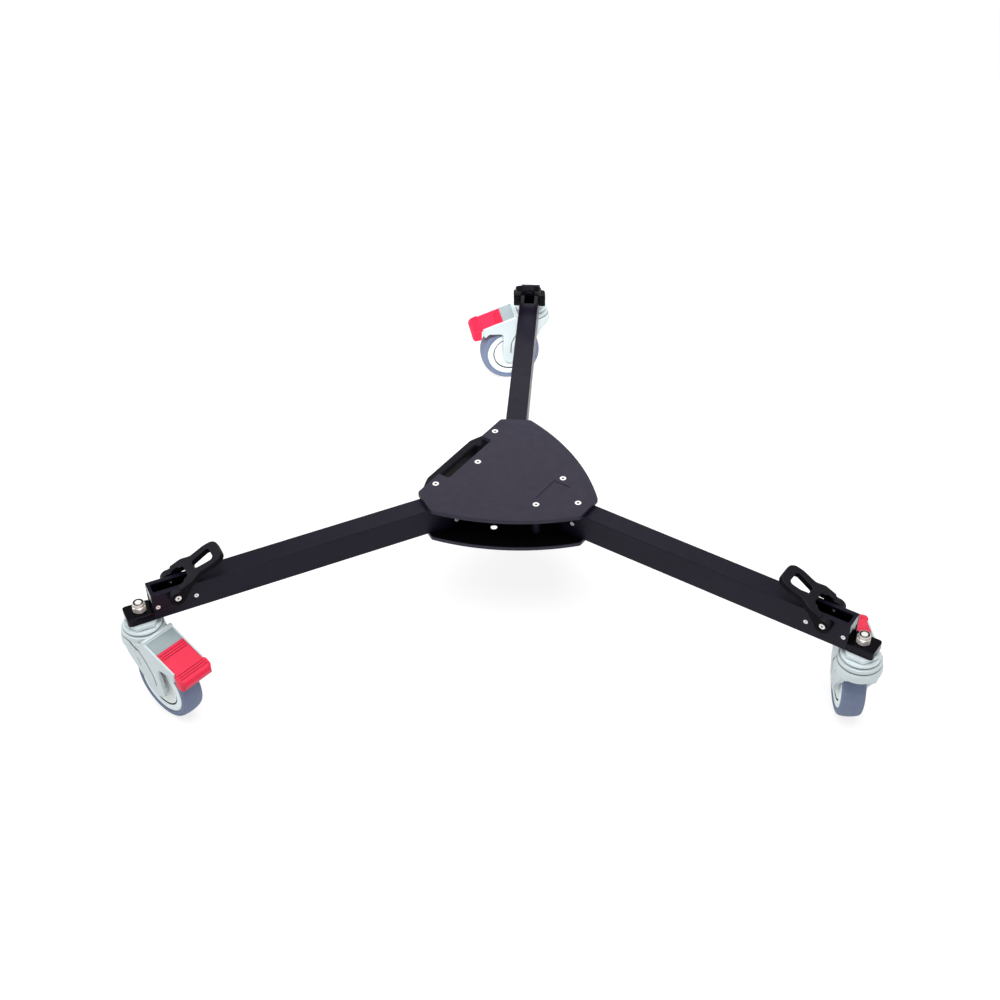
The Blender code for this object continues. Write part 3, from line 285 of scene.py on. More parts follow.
def turned(profile, segments, ring=False):
    """Profile of (radius, height) points turned about Z."""
    mesh = bpy.data.meshes.new("profile")
    last = len(profile) - 1
    edges = [(i, i + 1) for i in range(last)]
    if ring:
        edges.append((last, 0))
    mesh.from_pydata([(radius, 0.0, height) for radius, height in profile], edges, [])
    obj = linked("helper", mesh)
    screw = obj.modifiers.new("turn", "SCREW")
    screw.steps = segments
    screw.use_merge_vertices = True
    screw.merge_threshold = 0.00001
    return baked(obj)


def primitive(create, **sizes):
    """Mesh of one of Blender's plain forms."""
    mesh = bpy.data.meshes.new("primitive")
    shape = bmesh.new()
    create(shape, **sizes)
    shape.to_mesh(mesh)
    shape.free()
    return mesh


def box(low, high):
    """Box between two corners."""
    low, high = Vector(low), Vector(high)
    place = Matrix.Translation((high + low) / 2) @ Matrix.Diagonal((*(high - low), 1.0))
    return moved(primitive(bmesh.ops.create_cube, size=1.0), place)


def rod(radius, length, segments=48, axis="Z", centre=(0.0, 0.0, 0.0)):
    """Cylinder along an axis, centred on a point."""
    mesh = primitive(bmesh.ops.create_cone, cap_ends=True, segments=segments, radius1=radius,
                     radius2=radius, depth=length)
    return moved(mesh, toward(axis, centre))


def toward(axis, centre=(0.0, 0.0, 0.0)):
    """Placement that turns local Z towards a world axis and moves the origin to a point."""
    turns = {"Z": (0, "X"), "X": (90, "Y"), "Y": (-90, "X"), "-Y": (90, "X"), "-Z": (180, "X")}
    degrees, about = turns[axis]
    return Matrix.Translation(centre) @ Matrix.Rotation(math.radians(degrees), 4, about)


def moved(mesh, placement):
    """The same mesh after a placement."""
    mesh.transform(placement)
    return mesh


def shifted(mesh, x=0.0, y=0.0, z=0.0):
    """The same mesh after a shift."""
    return moved(mesh, Matrix.Translation((x, y, z)))


def slotted(mesh, surfaces, slot=0):
    """The same mesh with these surfaces as its slots and all its faces on one of them."""
    mesh.materials.clear()
    for surface in surfaces:
        mesh.materials.append(surface)
    for face in mesh.polygons:
        face.material_index = slot
    return mesh


def painted(mesh, *names):
    """The same mesh with slots for the named surfaces, all its faces on the first."""
    return slotted(mesh, [SURFACES[name] for name in names])


def marked(mesh, slot, chosen):
    """The same mesh with a slot for the faces chosen by their centre and normal."""
    for face in mesh.polygons:
        if chosen(face.center, face.normal):
            face.material_index = slot
    return mesh


def carved(base, *steps):
    """Base mesh after Boolean steps of (operation, tool, slot of the base for the tool's faces)."""
    for operation, tool_mesh, *slot in steps:
        slotted(tool_mesh, base.materials, *slot)
        work = linked("helper", base)
        tool = linked("helper", tool_mesh)
        change = work.modifiers.new("change", "BOOLEAN")
        change.operation = operation
        change.solver = "EXACT"
        change.object = tool
        base = baked(work)
        bpy.data.objects.remove(tool)
    return base


def eased(mesh, width, segments=2, angle=32.0):
    """The same mesh with flat faces joined and its sharp edges rounded a little."""
    shape = bmesh.new()
    shape.from_mesh(mesh)
    bmesh.ops.remove_doubles(shape, verts=shape.verts, dist=0.00004)
    bmesh.ops.dissolve_limit(shape, angle_limit=math.radians(0.5), verts=shape.verts,
                             edges=shape.edges, delimit={"MATERIAL"})
    shape.to_mesh(mesh)
    shape.free()
    obj = linked("helper", mesh)
    bevel = obj.modifiers.new("bevel", "BEVEL")
    bevel.width = width
    bevel.segments = segments
    bevel.limit_method = "ANGLE"
    bevel.angle_limit = math.radians(angle)
    bevel.use_clamp_overlap = False
    bevel.miter_outer = "MITER_ARC"
    return baked(obj)


# Surfaces

WHITE = (1.0, 1.0, 1.0, 1.0)
DARK_SHEEN = (0.86, 0.82, 1.0, 1.0)


def new_surface(name, gloss=0.5, sheen=WHITE):
    """New surface, its node tree and its shader."""
    surface = bpy.data.materials.new(name)
    surface.use_nodes = True
    shader = surface.node_tree.nodes["Principled BSDF"]
    shader.inputs["Specular IOR Level"].default_value = gloss
    shader.inputs["Specular Tint"].default_value = sheen
    return surface, surface.node_tree, shader


def feed(tree, socket, value):
    """Give an input a value, or a link if the value is another node's output."""
    if isinstance(value, bpy.types.NodeSocket):
        tree.links.new(value, socket)
    else:
        socket.default_value = value


def spread(tree, source, low, high, start=0.0, stop=1.0):
    """Output that runs from low to high while its source runs from start to stop."""
    node = tree.nodes.new("ShaderNodeMapRange")
    values = {"Value": source, "From Min": start, "From Max": stop, "To Min": low, "To Max": high}
    for name, value in values.items():
        feed(tree, node.inputs[name], value)
    return node.outputs["Result"]


def combined(tree, operation, first, second):
    """Output of a maths node."""
    node = tree.nodes.new("ShaderNodeMath")
    node.operation = operation
    feed(tree, node.inputs[0], first)
    feed(tree, node.inputs[1], second)
    return node.outputs["Value"]


def texture(tree, kind, scale):
    """Texture node on the piece's own coordinates, in metres."""
    where = tree.nodes.get("where") or tree.nodes.new("ShaderNodeTexCoord")
    where.name = "where"
    node = tree.nodes.new(kind)
    node.inputs["Scale"].default_value = scale
    tree.links.new(where.outputs["Object"], node.inputs["Vector"])
    return node


def noise(tree, scale, detail, roughness=0.5):
    """Output of a noise texture."""
    node = texture(tree, "ShaderNodeTexNoise", scale)
    node.inputs["Detail"].default_value = detail
    node.inputs["Roughness"].default_value = roughness
    return node.outputs["Fac"]


def roughened(tree, shader, source, low, high, start=0.35, stop=0.65):
    """Roughness that runs between two values with a texture."""
    feed(tree, shader.inputs["Roughness"], spread(tree, source, low, high, start, stop))


def tinted(tree, shader, source, dark, light):
    """Base colour that runs between two colours with a texture."""
    ramp = tree.nodes.new("ShaderNodeValToRGB")
    for element, position, colour in zip(ramp.color_ramp.elements, (0.3, 0.7), (dark, light)):
        element.position = position
        element.color = (*colour, 1.0)
    tree.links.new(source, ramp.inputs["Fac"])
    tree.links.new(ramp.outputs["Color"], shader.inputs["Base Color"])


def bumped(tree, shader, *layers):
    """Bump from (texture output, strength, depth) layers, the last one on top."""
    normal = None
    for source, strength, depth in layers:
        bump = tree.nodes.new("ShaderNodeBump")
        bump.inputs["Strength"].default_value = strength
        bump.inputs["Distance"].default_value = depth
        tree.links.new(source, bump.inputs["Height"])
        if normal:
            tree.links.new(normal, bump.inputs["Normal"])
        normal = bump.outputs["Normal"]
    tree.links.new(normal, shader.inputs["Normal"])


def anodised(name, dark, light, rough, gloss=0.3, grain=2600.0, depth=0.00005):
    """Black anodised aluminium: even blasted grain, faint cloudiness, faint rub marks."""
    surface, tree, shader = new_surface(name, gloss, DARK_SHEEN)
    tinted(tree, shader, noise(tree, 16.0, 4.0, 0.6), dark, light)
    roughened(tree, shader, noise(tree, 70.0, 6.0, 0.7), rough - 0.05, rough + 0.06)
    bumped(tree, shader, (noise(tree, grain, 2.0), 0.35, depth))
    return surface


def plastic(name, dark, light, rough, grain=1500.0, depth=0.00003, strength=0.3, gloss=0.5):
    """Moulded plastic: fine grain and a little unevenness in colour and gloss."""
    surface, tree, shader = new_surface(name, gloss)
    flow = noise(tree, 150.0, 3.0)
    tinted(tree, shader, noise(tree, 38.0, 4.0, 0.55), dark, light)
    roughened(tree, shader, flow, rough - 0.04, rough + 0.06)
    bumped(tree, shader, (flow, 0.15, 0.00006), (noise(tree, grain, 2.0), strength, depth))
    return surface


def pebbled(name, dark, light, rough, gloss):
    """Black moulded plastic with the pebble grain of a textured tool."""
    surface, tree, shader = new_surface(name, gloss, DARK_SHEEN)
    cells = texture(tree, "ShaderNodeTexVoronoi", 780.0)
    cells.feature = "SMOOTH_F1"
    cells.inputs["Smoothness"].default_value = 0.35
    pebbles = cells.outputs["Distance"]
    tinted(tree, shader, noise(tree, 60.0, 5.0, 0.6), dark, light)
    roughened(tree, shader, pebbles, rough - 0.06, rough + 0.08, 0.1, 0.7)
    bumped(tree, shader, (pebbles, -0.55, 0.00022), (noise(tree, 2600.0, 2.0), 0.25, 0.00004))
    return surface


def metal(name, dark, light, rough, grain=900.0, pure=1.0):
    """Plated or bare metal with fine tool marks and slight staining."""
    surface, tree, shader = new_surface(name)
    shader.inputs["Metallic"].default_value = pure
    stain = noise(tree, 260.0, 5.0, 0.6)
    tinted(tree, shader, stain, dark, light)
    roughened(tree, shader, stain, rough - 0.05, rough + 0.1)
    bumped(tree, shader, (noise(tree, grain, 3.0), 0.1, 0.00002))
    return surface


def rubbery(name, dark, light, rough):
    """Grey elastomer tyre: scuffed, with faint dust in its grain."""
    surface, tree, shader = new_surface(name, 0.35)
    cloud = noise(tree, 90.0, 6.0, 0.65)
    scuffs = texture(tree, "ShaderNodeTexVoronoi", 160.0).outputs["Distance"]
    tinted(tree, shader, cloud, dark, light)
    roughened(tree, shader, scuffs, rough - 0.05, rough + 0.1, 0.1, 0.8)
    bumped(tree, shader, (cloud, 0.12, 0.0002), (noise(tree, 1900.0, 3.0), 0.4, 0.00006))
    return surface


SURFACES = {
    "plate": anodised("plate_black", (0.011, 0.0088, 0.02), (0.0145, 0.0118, 0.024), 0.5, 0.4),
    "tube": anodised("tube_black", (0.0038, 0.0028, 0.0085), (0.0058, 0.0044, 0.0115), 0.4, 0.17),
    # Painted shade: a near-black copy of the anodised black for faces between the plates, inside the tubes
    # and on the recess walls.
    "inner": anodised("inner_painted_shade", (0.001, 0.001, 0.0014), (0.0018, 0.0018, 0.0024), 0.6, 0.05),
    "cast": anodised("casting_black", (0.003, 0.0028, 0.0045), (0.005, 0.0046, 0.007), 0.55, 0.15,
                     900.0, 0.0001),
    "block": anodised("block_black", (0.0004, 0.0004, 0.0012), (0.001, 0.001, 0.002), 0.12, 0.16,
                      1800.0, 0.000005),
    "bare": metal("bare_aluminium", (0.34, 0.38, 0.37), (0.43, 0.47, 0.46), 0.42, 1600.0, 0.5),
    "bail": pebbled("bail_black", (0.0042, 0.0039, 0.006), (0.008, 0.0074, 0.0106), 0.48, 0.22),
    # Painted shade: a darker, duller copy of the bail's black for its sides and underside.
    "bail_shade": anodised("bail_painted_shade", (0.0014, 0.0013, 0.0022), (0.0028, 0.0026, 0.004),
                          0.52, 0.07, 900.0, 0.0001),
    "bright": metal("bright_steel", (0.86, 0.84, 0.82), (0.94, 0.93, 0.92), 0.32, 900.0, 0.3),
    "nut": metal("nut_nickel", (0.68, 0.63, 0.59), (0.78, 0.73, 0.69), 0.3, 500.0, 0.45),
    "steel": metal("plated_steel", (0.5, 0.5, 0.51), (0.62, 0.62, 0.63), 0.34),
    "socket": metal("socket_shade", (0.05, 0.05, 0.05), (0.09, 0.09, 0.09), 0.45, 900.0, 0.5),
    # Dark nylon of the nut's insert, also used as painted shade on the nut's bore and on the stem's thread
    # and chamfer.
    "nylon_and_shade": plastic("dark_nylon_and_painted_shade", (0.003, 0.004, 0.01), (0.006, 0.007, 0.015), 0.45, gloss=0.2),
    "housing": plastic("housing_grey", (0.605, 0.684, 0.708), (0.64, 0.714, 0.734), 0.42),
    # Darker grey of the sloping panel; also painted shade on the shoulder flats beside the dome.
    "panel_and_shade": plastic("panel_grey_and_shoulder_shade", (0.285, 0.345, 0.37), (0.315, 0.38, 0.4), 0.55, 2200.0, 0.00008, 0.5),
    "groove": plastic("groove_shade", (0.17, 0.2, 0.21), (0.21, 0.24, 0.25), 0.6, gloss=0.3),
    "moat": plastic("moat_shade", (0.03, 0.038, 0.042), (0.05, 0.058, 0.062), 0.6, gloss=0.2),
    "flange": plastic("flange_grey", (0.67, 0.76, 0.785), (0.71, 0.8, 0.825), 0.4),
    "rim": plastic("rim_pale", (0.83, 0.935, 0.97), (0.86, 0.96, 0.99), 0.38),
    "guard": plastic("guard_grey", (0.86, 0.93, 0.925), (0.89, 0.955, 0.95), 0.5),
    "tyre": rubbery("tyre_grey", (0.155, 0.195, 0.305), (0.185, 0.225, 0.335), 0.58),
    "pedal": plastic("pedal_red", (0.79, 0.008, 0.054), (0.85, 0.013, 0.068), 0.42, 1300.0, 0.00003,
                     0.25, 0.35),
    "rib": plastic("pedal_red_shade", (0.38, 0.003, 0.028), (0.44, 0.005, 0.034), 0.5, gloss=0.2),
}


# Placing

def placed(name, mesh, node, place=None, stands_for=False):
    """Shown piece that rides on a node's body and has its finish."""
    mesh = mesh.copy()
    if place is not None:
        mesh.transform(place)
    mesh.shade_smooth()
    mesh.set_sharp_from_angle(angle=math.radians(32.0))
    obj = linked(name, mesh)
    obj.modifiers.new("weigh", "WEIGHTED_NORMAL").keep_sharp = True
    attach(obj, frame["nodes"][node]["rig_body"])
    if stands_for:
        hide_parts(node)


def dressed(node, mesh, place=None, name=None):
    """Piece that is shown in a node's place."""
    placed(name or f"{node}_look", mesh, node, place, stands_for=True)


def arm_place(arm):
    """Frame of an arm: origin over its pivot, X outwards."""
    x, y = polar(PIVOT, ARMS[arm])
    return Matrix.Translation((x, y, 0.0)) @ Matrix.Rotation(math.radians(ARMS[arm]), 4, "Z")


def joint_place(name, axle=None):
    """Frame on a joint of a caster: Y along its axle, X along the trail."""
    across = Vector(JOINTS[axle or name]["axis"]).normalized()
    above = Vector((0.0, 0.0, 1.0))
    turn = Matrix((across.cross(above).normalized(), across, above)).transposed().to_4x4()
    return Matrix.Translation(JOINTS[name]["pos_m"]) @ turn


def bail_place(arm):
    """Frame of a foot bail: X from its pivot to its tip."""
    swing = JOINTS[f"{arm}_bail_swing"]
    lean = BAIL_LEAN - swing["range_deg"][0]
    turn = Matrix.Rotation(math.radians(ARMS[arm] + 180.0), 4, "Z")
    return Matrix.Translation(swing["pos_m"]) @ (turn @ Matrix.Rotation(-math.radians(lean), 4, "Y"))


# Fasteners

def countersink(head, shaft, depth, segments=32):
    """Cutter for a countersunk hole whose mouth is at Z = 0 and opens upwards."""
    over = 0.001
    return turned([(0.0, over), (head + over, over), (shaft, -(head - shaft)), (shaft, -depth - over),
                   (0.0, -depth - over)], segments)


def socketed(body, face, outside, inside, size, flare, depth, segments=24):
    """Screw after its socket: a flared lead between two heights and a hexagon in shade."""
    lead = turned([(0.0, outside), (flare, outside), (size - 0.0001, inside), (0.0, inside)], segments)
    return carved(body, (CUT, lead), (CUT, rod(size, depth, 6, centre=(0.0, 0.0, face)), 1))


def flat_screw(head, shaft, length, socket):
    """Countersunk screw with a hexagon socket, its top just under Z = 0."""
    top = -0.00012
    body = turned([(0.0, top), (head - 0.0003, top), (head, top - 0.00025),
                   (shaft, top - (head - shaft) - 0.0002), (shaft, -length), (0.0, -length)], 40)
    body = painted(body, "bright", "socket")
    return socketed(body, top, 0.001, top - 0.0002, socket, socket + 0.0011, 0.0034)


def bail_screw_mesh():
    """Shoulder screw of the bail along Z; Z = 0 is the ear's outer face."""
    top = -0.0012
    head, shoulder, seam = 0.0047, 0.003, -0.014
    profile = rounded([(0.0, top, 0), (head - 0.0006, top, 0.0005), (head, top - 0.0012, 0.0004),
                       (head, top - 0.003, 0), (shoulder, top - 0.003, 0), (shoulder, -0.013, 0),
                       (0.0026, seam, 0), (0.0013, seam, 0), (0.0012, -0.0148, 0), (0.0, -0.0148, 0)], 15)
    # The inner end is painted shade but for a small bright tip.
    body = marked(painted(turned(profile, 48), "bright", "socket"), 1,
                  lambda centre, normal: centre.z < -0.0128 and centre.xy.length > 0.0011)
    return socketed(body, top, 0.001, top - 0.0002, 0.0014, 0.0029, 0.004)


def nut_mesh():
    """Self-locking nut with chamfered corners, a rolled collar and its nylon ring."""
    corners = hexagon_radius(NUT_FLATS)
    high, cut = 0.0085, 0.0013
    hexagon = painted(rod(corners, high, 6, centre=(0.0, 0.0, high / 2)), "nut", "nylon_and_shade")
    cone = turned([(0.0, high), (corners - 0.0019, high), (corners + 0.0001, high - cut),
                   (corners + 0.0001, cut), (corners - 0.0019, 0.0), (0.0, 0.0)], 64)
    collar = turned(rounded([(0.0, NUT_HIGH, 0), (0.0071, NUT_HIGH, 0.0003), (0.0077, 0.0118, 0.0008),
                             (0.0077, 0.007, 0), (0.0, 0.007, 0)], 15), 64)
    ring = turned([(0.0, 0.014), (0.0067, 0.014), (0.0066, 0.0122), (0.0, 0.0122)], 48)
    # The insert's recess is its dark nylon; the same surface on the bore's wall is painted shade.
    return carved(hexagon, (KEEP, cone), (JOIN, collar), (CUT, ring, 1), (CUT, rod(0.0054, 0.06), 1))


def stem_tip_mesh():
    """End of the stem in the nut: a bright flat face, with painted shade on its chamfer and thread."""
    top, pitch = PLATFORM + GAP + NUT_HIGH + 0.0002, 0.001
    thread = [(0.0, top - 0.0012), (0.0048, top - 0.0012), (0.0052, top - 0.0016)]
    z = top - 2 * pitch
    while z > top - 6 * pitch:
        thread += [(0.0053, z), (0.0049, z - pitch / 2)]
        z -= pitch
    thread += [(0.0052, z), (0.0052, -0.001), (0.0, -0.001)]
    face = turned([(0.0, top), (0.0041, top), (0.0043, top - 0.0002), (0.0043, top - 0.003),
                   (0.0, top - 0.003)], 64)
    return carved(painted(turned(thread, 48), "nylon_and_shade", "bright"), (JOIN, face, 1))


# Hub

def hub_outline():
    """Outline of both hub plates."""
    chord = TIP_REACH * math.cos(math.radians(30)) - TIP_HALF / 2
    radius = (chord ** 2 + BULGE ** 2) / (2 * BULGE)
    half = math.degrees(math.asin(chord / radius))
    corners = []
    for arm, angle in ARMS.items():
        turn = Matrix.Rotation(math.radians(angle), 2)
        for side in (-1, 1):
            corners.append((*(turn @ Vector((TIP_REACH, side * TIP_HALF))), TIP_RADIUS))
        if arm == "left":
            corners += mirrored([(-CHORD, CUTOUT_HALF, 0.0015), (-CUTOUT_REACH, CUTOUT_HALF, 0.004)])
        else:
            middle = angle + 60.0
            points = arc(polar(CHORD + BULGE - radius, middle), radius, middle - half, middle + half, 48)
            corners += [(x, y, 0.0) for x, y in points[1:-1]]
    return rounded(corners)


def under_low_plate(place):
    """Placement on the low plate's underside that looks down."""
    return toward("-Z", (*place, LOW_PLATE_BOTTOM))


def top_plate_mesh(outline):
    """Top plate with its screw holes and the bare recess; its underside and the recess walls are painted
    shade.
    """
    def is_painted_shade(centre, normal):
        wall = abs(normal.z) < 0.5 and centre.z > -0.001 and centre.xy.length < 0.09
        return normal.z < -0.9 or wall

    steps = [(CUT, shifted(countersink(0.0047, 0.0024, PLATE), x, y)) for x, y in PLATE_SCREWS]
    steps.append((CUT, extruded([rectangle(0.058, 0.085, 0.023, 0.0006, 30)], 0.0014)))
    plate = shifted(extruded([outline], PLATE, 0.0006, 1), z=-PLATE / 2)
    return marked(painted(carved(plate, *steps), "plate", "inner"), 1, is_painted_shade)


def low_plate_mesh(outline):
    """Low plate with its screw holes, bolt seats and service hole; its top face, between the plates, is
    painted shade.
    """
    holes = [(place, 0.0047, 0.0024, 32) for place in PLATE_SCREWS]
    holes += [(polar(PIVOT, angle), 0.0098, 0.0053, 64) for angle in ARMS.values()]
    holes.append((SERVICE_HOLE, 0.0102, 0.0046, 48))
    steps = [(CUT, moved(countersink(head, shaft, PLATE, segments), under_low_plate(place)))
             for place, head, shaft, segments in holes]
    plate = shifted(extruded([outline], PLATE, 0.0006, 1), z=LOW_PLATE_TOP - PLATE / 2)
    return marked(painted(carved(plate, *steps), "plate", "inner"), 1,
                  lambda centre, normal: normal.z > 0.9)


def build_plates():
    """Both hub plates and their screws."""
    outline = hub_outline()
    dressed("top_plate", top_plate_mesh(outline))
    dressed("bottom_plate", low_plate_mesh(outline))
    screw = flat_screw(0.0046, 0.0022, 0.005, 0.0019)
    for i, (x, y) in enumerate(PLATE_SCREWS):
        placed(f"plate_screw_top_{i}", screw, "top_plate", Matrix.Translation((x, y, 0.0)))
        placed(f"plate_screw_low_{i}", screw, "bottom_plate", under_low_plate((x, y)))


def build_handle():
    """Carry handle: saddle between the plates and a rounded grip bar."""
    half = CUTOUT_HALF
    edge = CHORD - 0.0005
    saddle = [(0.047, 0.04, 0.006), (0.062, 0.067, 0.008), (0.068, 0.081, 0.005), (edge, 0.084, 0.003),
              (edge, half, 0), (CUTOUT_REACH, half, 0.004)]
    grip = [(0.1045, half, 0.01), (0.092, 0.084, 0.005), (0.071, 0.0825, 0.005),
            (0.071, half - 0.0005, 0), (0.09, half, 0.009)]
    bar = extruded([rounded(mirrored(grip))], 0.022, 0.004, 4)
    body = carved(extruded([rounded(mirrored(saddle))], TUBE_H), (JOIN, bar))
    handle = moved(eased(body, 0.0006), Matrix.Rotation(math.pi, 4, "Z"))
    dressed("carry_handle", painted(shifted(handle, z=TUBE_MIDDLE), "cast"))


def build_posts():
    """Spacer posts beside the front arm."""
    bore, outside, half = 0.0023, 0.006, TUBE_H / 2
    profile = rounded(mirrored([(bore, half, 0), (outside, half, 0.0004)]), 15)
    post = painted(turned(profile, 48, ring=True), "plate")
    for name, side in (("spacer_post_left", 1), ("spacer_post_right", -1)):
        dressed(name, post, Matrix.Translation((POST[0], side * POST[1], TUBE_MIDDLE)))


def build_bolts():
    """Pivot bolts with their heads and sockets below."""
    bottom, top, shaft = LOW_PLATE_BOTTOM, -0.0018, 0.005
    bolt = painted(turned([(0.0, top), (shaft, top), (shaft, bottom + 0.0045), (0.0095, bottom + 0.0002),
                           (0.0092, bottom), (0.0, bottom)], 64), "steel", "socket")
    bolt = socketed(bolt, bottom, bottom - 0.001, bottom + 0.0006, 0.0035, 0.0052, 0.007, 32)
    for arm, angle in ARMS.items():
        dressed(f"{arm}_pivot_bolt", bolt, Matrix.Translation((*polar(PIVOT, angle), 0.0)))


# Arms

def side_screw_places(hub_screw):
    """Distance along the arm and height of each pair of side screws."""
    x, z = hub_screw
    level = TUBE_BOTTOM + 0.0192
    return [(along(0.4564), level), (along(0.5072), level), (along(x), TUBE_BOTTOM + z)]


def tube_mesh(hub_screw):
    """Arm tube with soft corners, bare cut end, foot slot and the seats of its side screws; its inside faces
    are painted shade.
    """
    end, tail, half = along(TUBE_END), TUBE_W / 2, TUBE_H / 2
    inner_y, inner_z = tail - WALL, half - WALL
    outer = rectangle(-half, half, tail, 0.0012, 18)
    inner = [(-inner_z, -inner_y), (-inner_z, inner_y), (inner_z, inner_y), (inner_z, -inner_y)]

    def is_inside(centre, normal):
        return (abs(centre.y) < inner_y + 0.0001 and abs(centre.z - TUBE_MIDDLE) < inner_z + 0.0001
                and centre.x < end - 0.001)

    tube = moved(extruded([outer, inner], end + tail), toward("X", ((end - tail) / 2, 0.0, TUBE_MIDDLE)))
    tube = marked(painted(tube, "tube", "bare", "inner"), 2, is_inside)
    wide, over = tail + 0.002, 0.01
    keep = [(end + over, -wide), (end + over, wide), (0.0, wide)]
    keep += arc((0.0, 0.0), tail - 0.00005, 90, 270, 48) + [(0.0, -wide)]
    slot = extruded([rectangle(along(0.455), along(0.509), 0.0165 / 2, 0.002, 15)], over)
    lip = box((end - 0.0001, -inner_y, TUBE_TOP - WALL - 0.001), (end + over, inner_y, TUBE_TOP - GAP))
    steps = [(KEEP, shifted(extruded([keep], TUBE_H + over), z=TUBE_MIDDLE)),
             (CUT, shifted(slot, z=TUBE_TOP)), (CUT, lip, 1)]
    for x, z in side_screw_places(hub_screw):
        for _, side, axis in SIDES:
            seat = countersink(SIDE_SCREW_HEAD + 0.0002, 0.0014, 0.004, 24)
            steps.append((CUT, moved(seat, toward(axis, (x, side * tail, z)))))
    return carved(tube, *steps)


def block_mesh():
    """End block: foot pocket inside the tube and a polished platform outside it."""
    start, end, wall = along(0.448), along(0.5485), along(TUBE_END) + GAP
    floor, top, base, thick = PLATFORM, 0.027, WALL + GAP, 0.013
    width, half = TUBE_W - 2 * (WALL + GAP), TUBE_W / 2
    core = slab(rounded([
        (start, base, 0), (wall + 0.004, base, 0), (wall + 0.004, floor, 0), (wall - 0.001, floor, 0),
        (wall - 0.001, top, 0.001), (wall - thick, top, 0.001), (wall - thick, floor, 0),
        (start + thick, floor, 0), (start + thick, top, 0.001), (start, top, 0.001)]), width)
    face = wall - GAP - 0.0002
    lug = box((face - 0.0035, -width / 2, top - 0.0015), (face, width / 2, TUBE_H - WALL - GAP))
    plan = rounded(mirrored([(wall, -half, 0), (end, -half, 0.004)]))
    platform = eased(shifted(extruded([plan], floor), z=floor / 2), 0.001, 3, 50.0)
    platform = painted(platform, "block", "bare")
    return shifted(carved(platform, (JOIN, core), (JOIN, lug, 1)), z=TUBE_BOTTOM)


def bail_mesh():
    """Foot bail: ears, crossbar and finger loop with soft moulded edges."""
    tip, start, thick, raise_by = 0.0786, 0.026, 0.009, 0.007
    outer = [(tip, 0.0175, 0.012), (tip - 0.018, 0.0205, 0.014), (start + 0.014, 0.0187, 0.009),
             (start + 0.001, EAR_OUT, 0.01), (0.009, EAR_OUT, 0.003), (0.009, EAR_IN, 0),
             (0.0175, EAR_IN, 0.003), (0.0205, 0.0112, 0.003), (start, 0.0105, 0.004)]
    hole = [(0.038, -0.0072, 0.003), (0.038, 0.0072, 0.003), (tip - 0.013, 0.0115, 0.005),
            (tip - 0.013, -0.0115, 0.005)]
    body = shifted(extruded([rounded(mirrored(outer)), rounded(hole)], thick, 0.0016, 3), z=raise_by)
    under, neck = raise_by - thick / 2, start - 0.003
    outline = arc((0.0, 0.0), 0.0105, 60, 310, 32)
    outline += [(neck, under - 0.0005), (neck, under + 0.004), (0.011, under + 0.006)]
    steps = [(JOIN, shifted(slab(outline, EAR, 0.0009), y=side * (EAR_IN + EAR_OUT) / 2))
             for side in (-1, 1)]
    steps += [(CUT, rod(0.0052, 0.009, 48, "Y", (0.0, side * EAR_OUT, 0.0))) for side in (-1, 1)]
    steps.append((CUT, rod(0.0033, 0.07, 24, "Y")))
    bail = painted(eased(carved(body, *steps), 0.0003, 2, 40.0), "bail", "bail_shade")
    # Sides and underside are painted shade with a darker copy of the bail's black; upward faces keep the
    # lighter one.
    return marked(bail, 1, lambda centre, normal: normal.z <= 0.35 or centre.z <= raise_by)


def flange_mesh():
    """Spanner flange of the stem with soft corners."""
    corner, neck, low = hexagon_radius(FLANGE_FLATS), 0.019, -0.0074
    hexagon = rounded([(*polar(corner, 60 * i), 0.0022) for i in range(6)], 12)
    flange = painted(shifted(extruded([hexagon], 0.0058, 0.0006, 2), z=-GAP - 0.0029), "flange", "moat")
    return carved(flange, (JOIN, turned([(0.0, -0.003), (neck, -0.003), (neck, low), (0.0, low)], 64), 1))


def build_arm(arm, meshes):
    """One arm's tube, block, bail, nut, stem and screws."""
    place = arm_place(arm)
    hub_screw = (0.1114, 0.0195) if arm == "front" else (0.088, 0.009)
    tube = f"{arm}_arm_tube"
    dressed(tube, tube_mesh(hub_screw), place)
    for i, (x, z) in enumerate(side_screw_places(hub_screw)):
        for tag, side, axis in SIDES:
            where = place @ toward(axis, (x, side * TUBE_W / 2, z))
            placed(f"{arm}_side_screw_{i}{tag}", meshes["side_screw"], tube, where)
    dressed(f"{arm}_end_block", meshes["block"], place)
    stem = place @ Matrix.Translation((along(STEM), 0.0, TUBE_BOTTOM))
    seat = stem @ Matrix.Translation((0.0, 0.0, PLATFORM + GAP))
    turn = Matrix.Rotation(math.radians(NUT_TURN[arm]), 4, "Z")
    dressed(f"{arm}_stem_nut", meshes["nut"], seat @ turn)
    dressed(f"{arm}_caster_stem", meshes["flange"], stem, f"{arm}_stem_flange_look")
    placed(f"{arm}_stem_tip", meshes["stem_tip"], f"{arm}_stem_nut", stem)
    for tag, side, axis in SIDES:
        where = place @ toward(axis, (along(BAIL), side * EAR_OUT, BAIL_Z))
        dressed(f"{arm}_bail_screw_{tag}", meshes["bail_screw"], where)
    dressed(f"{arm}_foot_bail", meshes["bail"], bail_place(arm))


# Casters

def tail_height(x):
    """Height of the housing's sloping tail at a distance along the trail."""
    return RIDGE_TOP - 0.003 - (x - RIDGE_END) * math.tan(SLOPE)


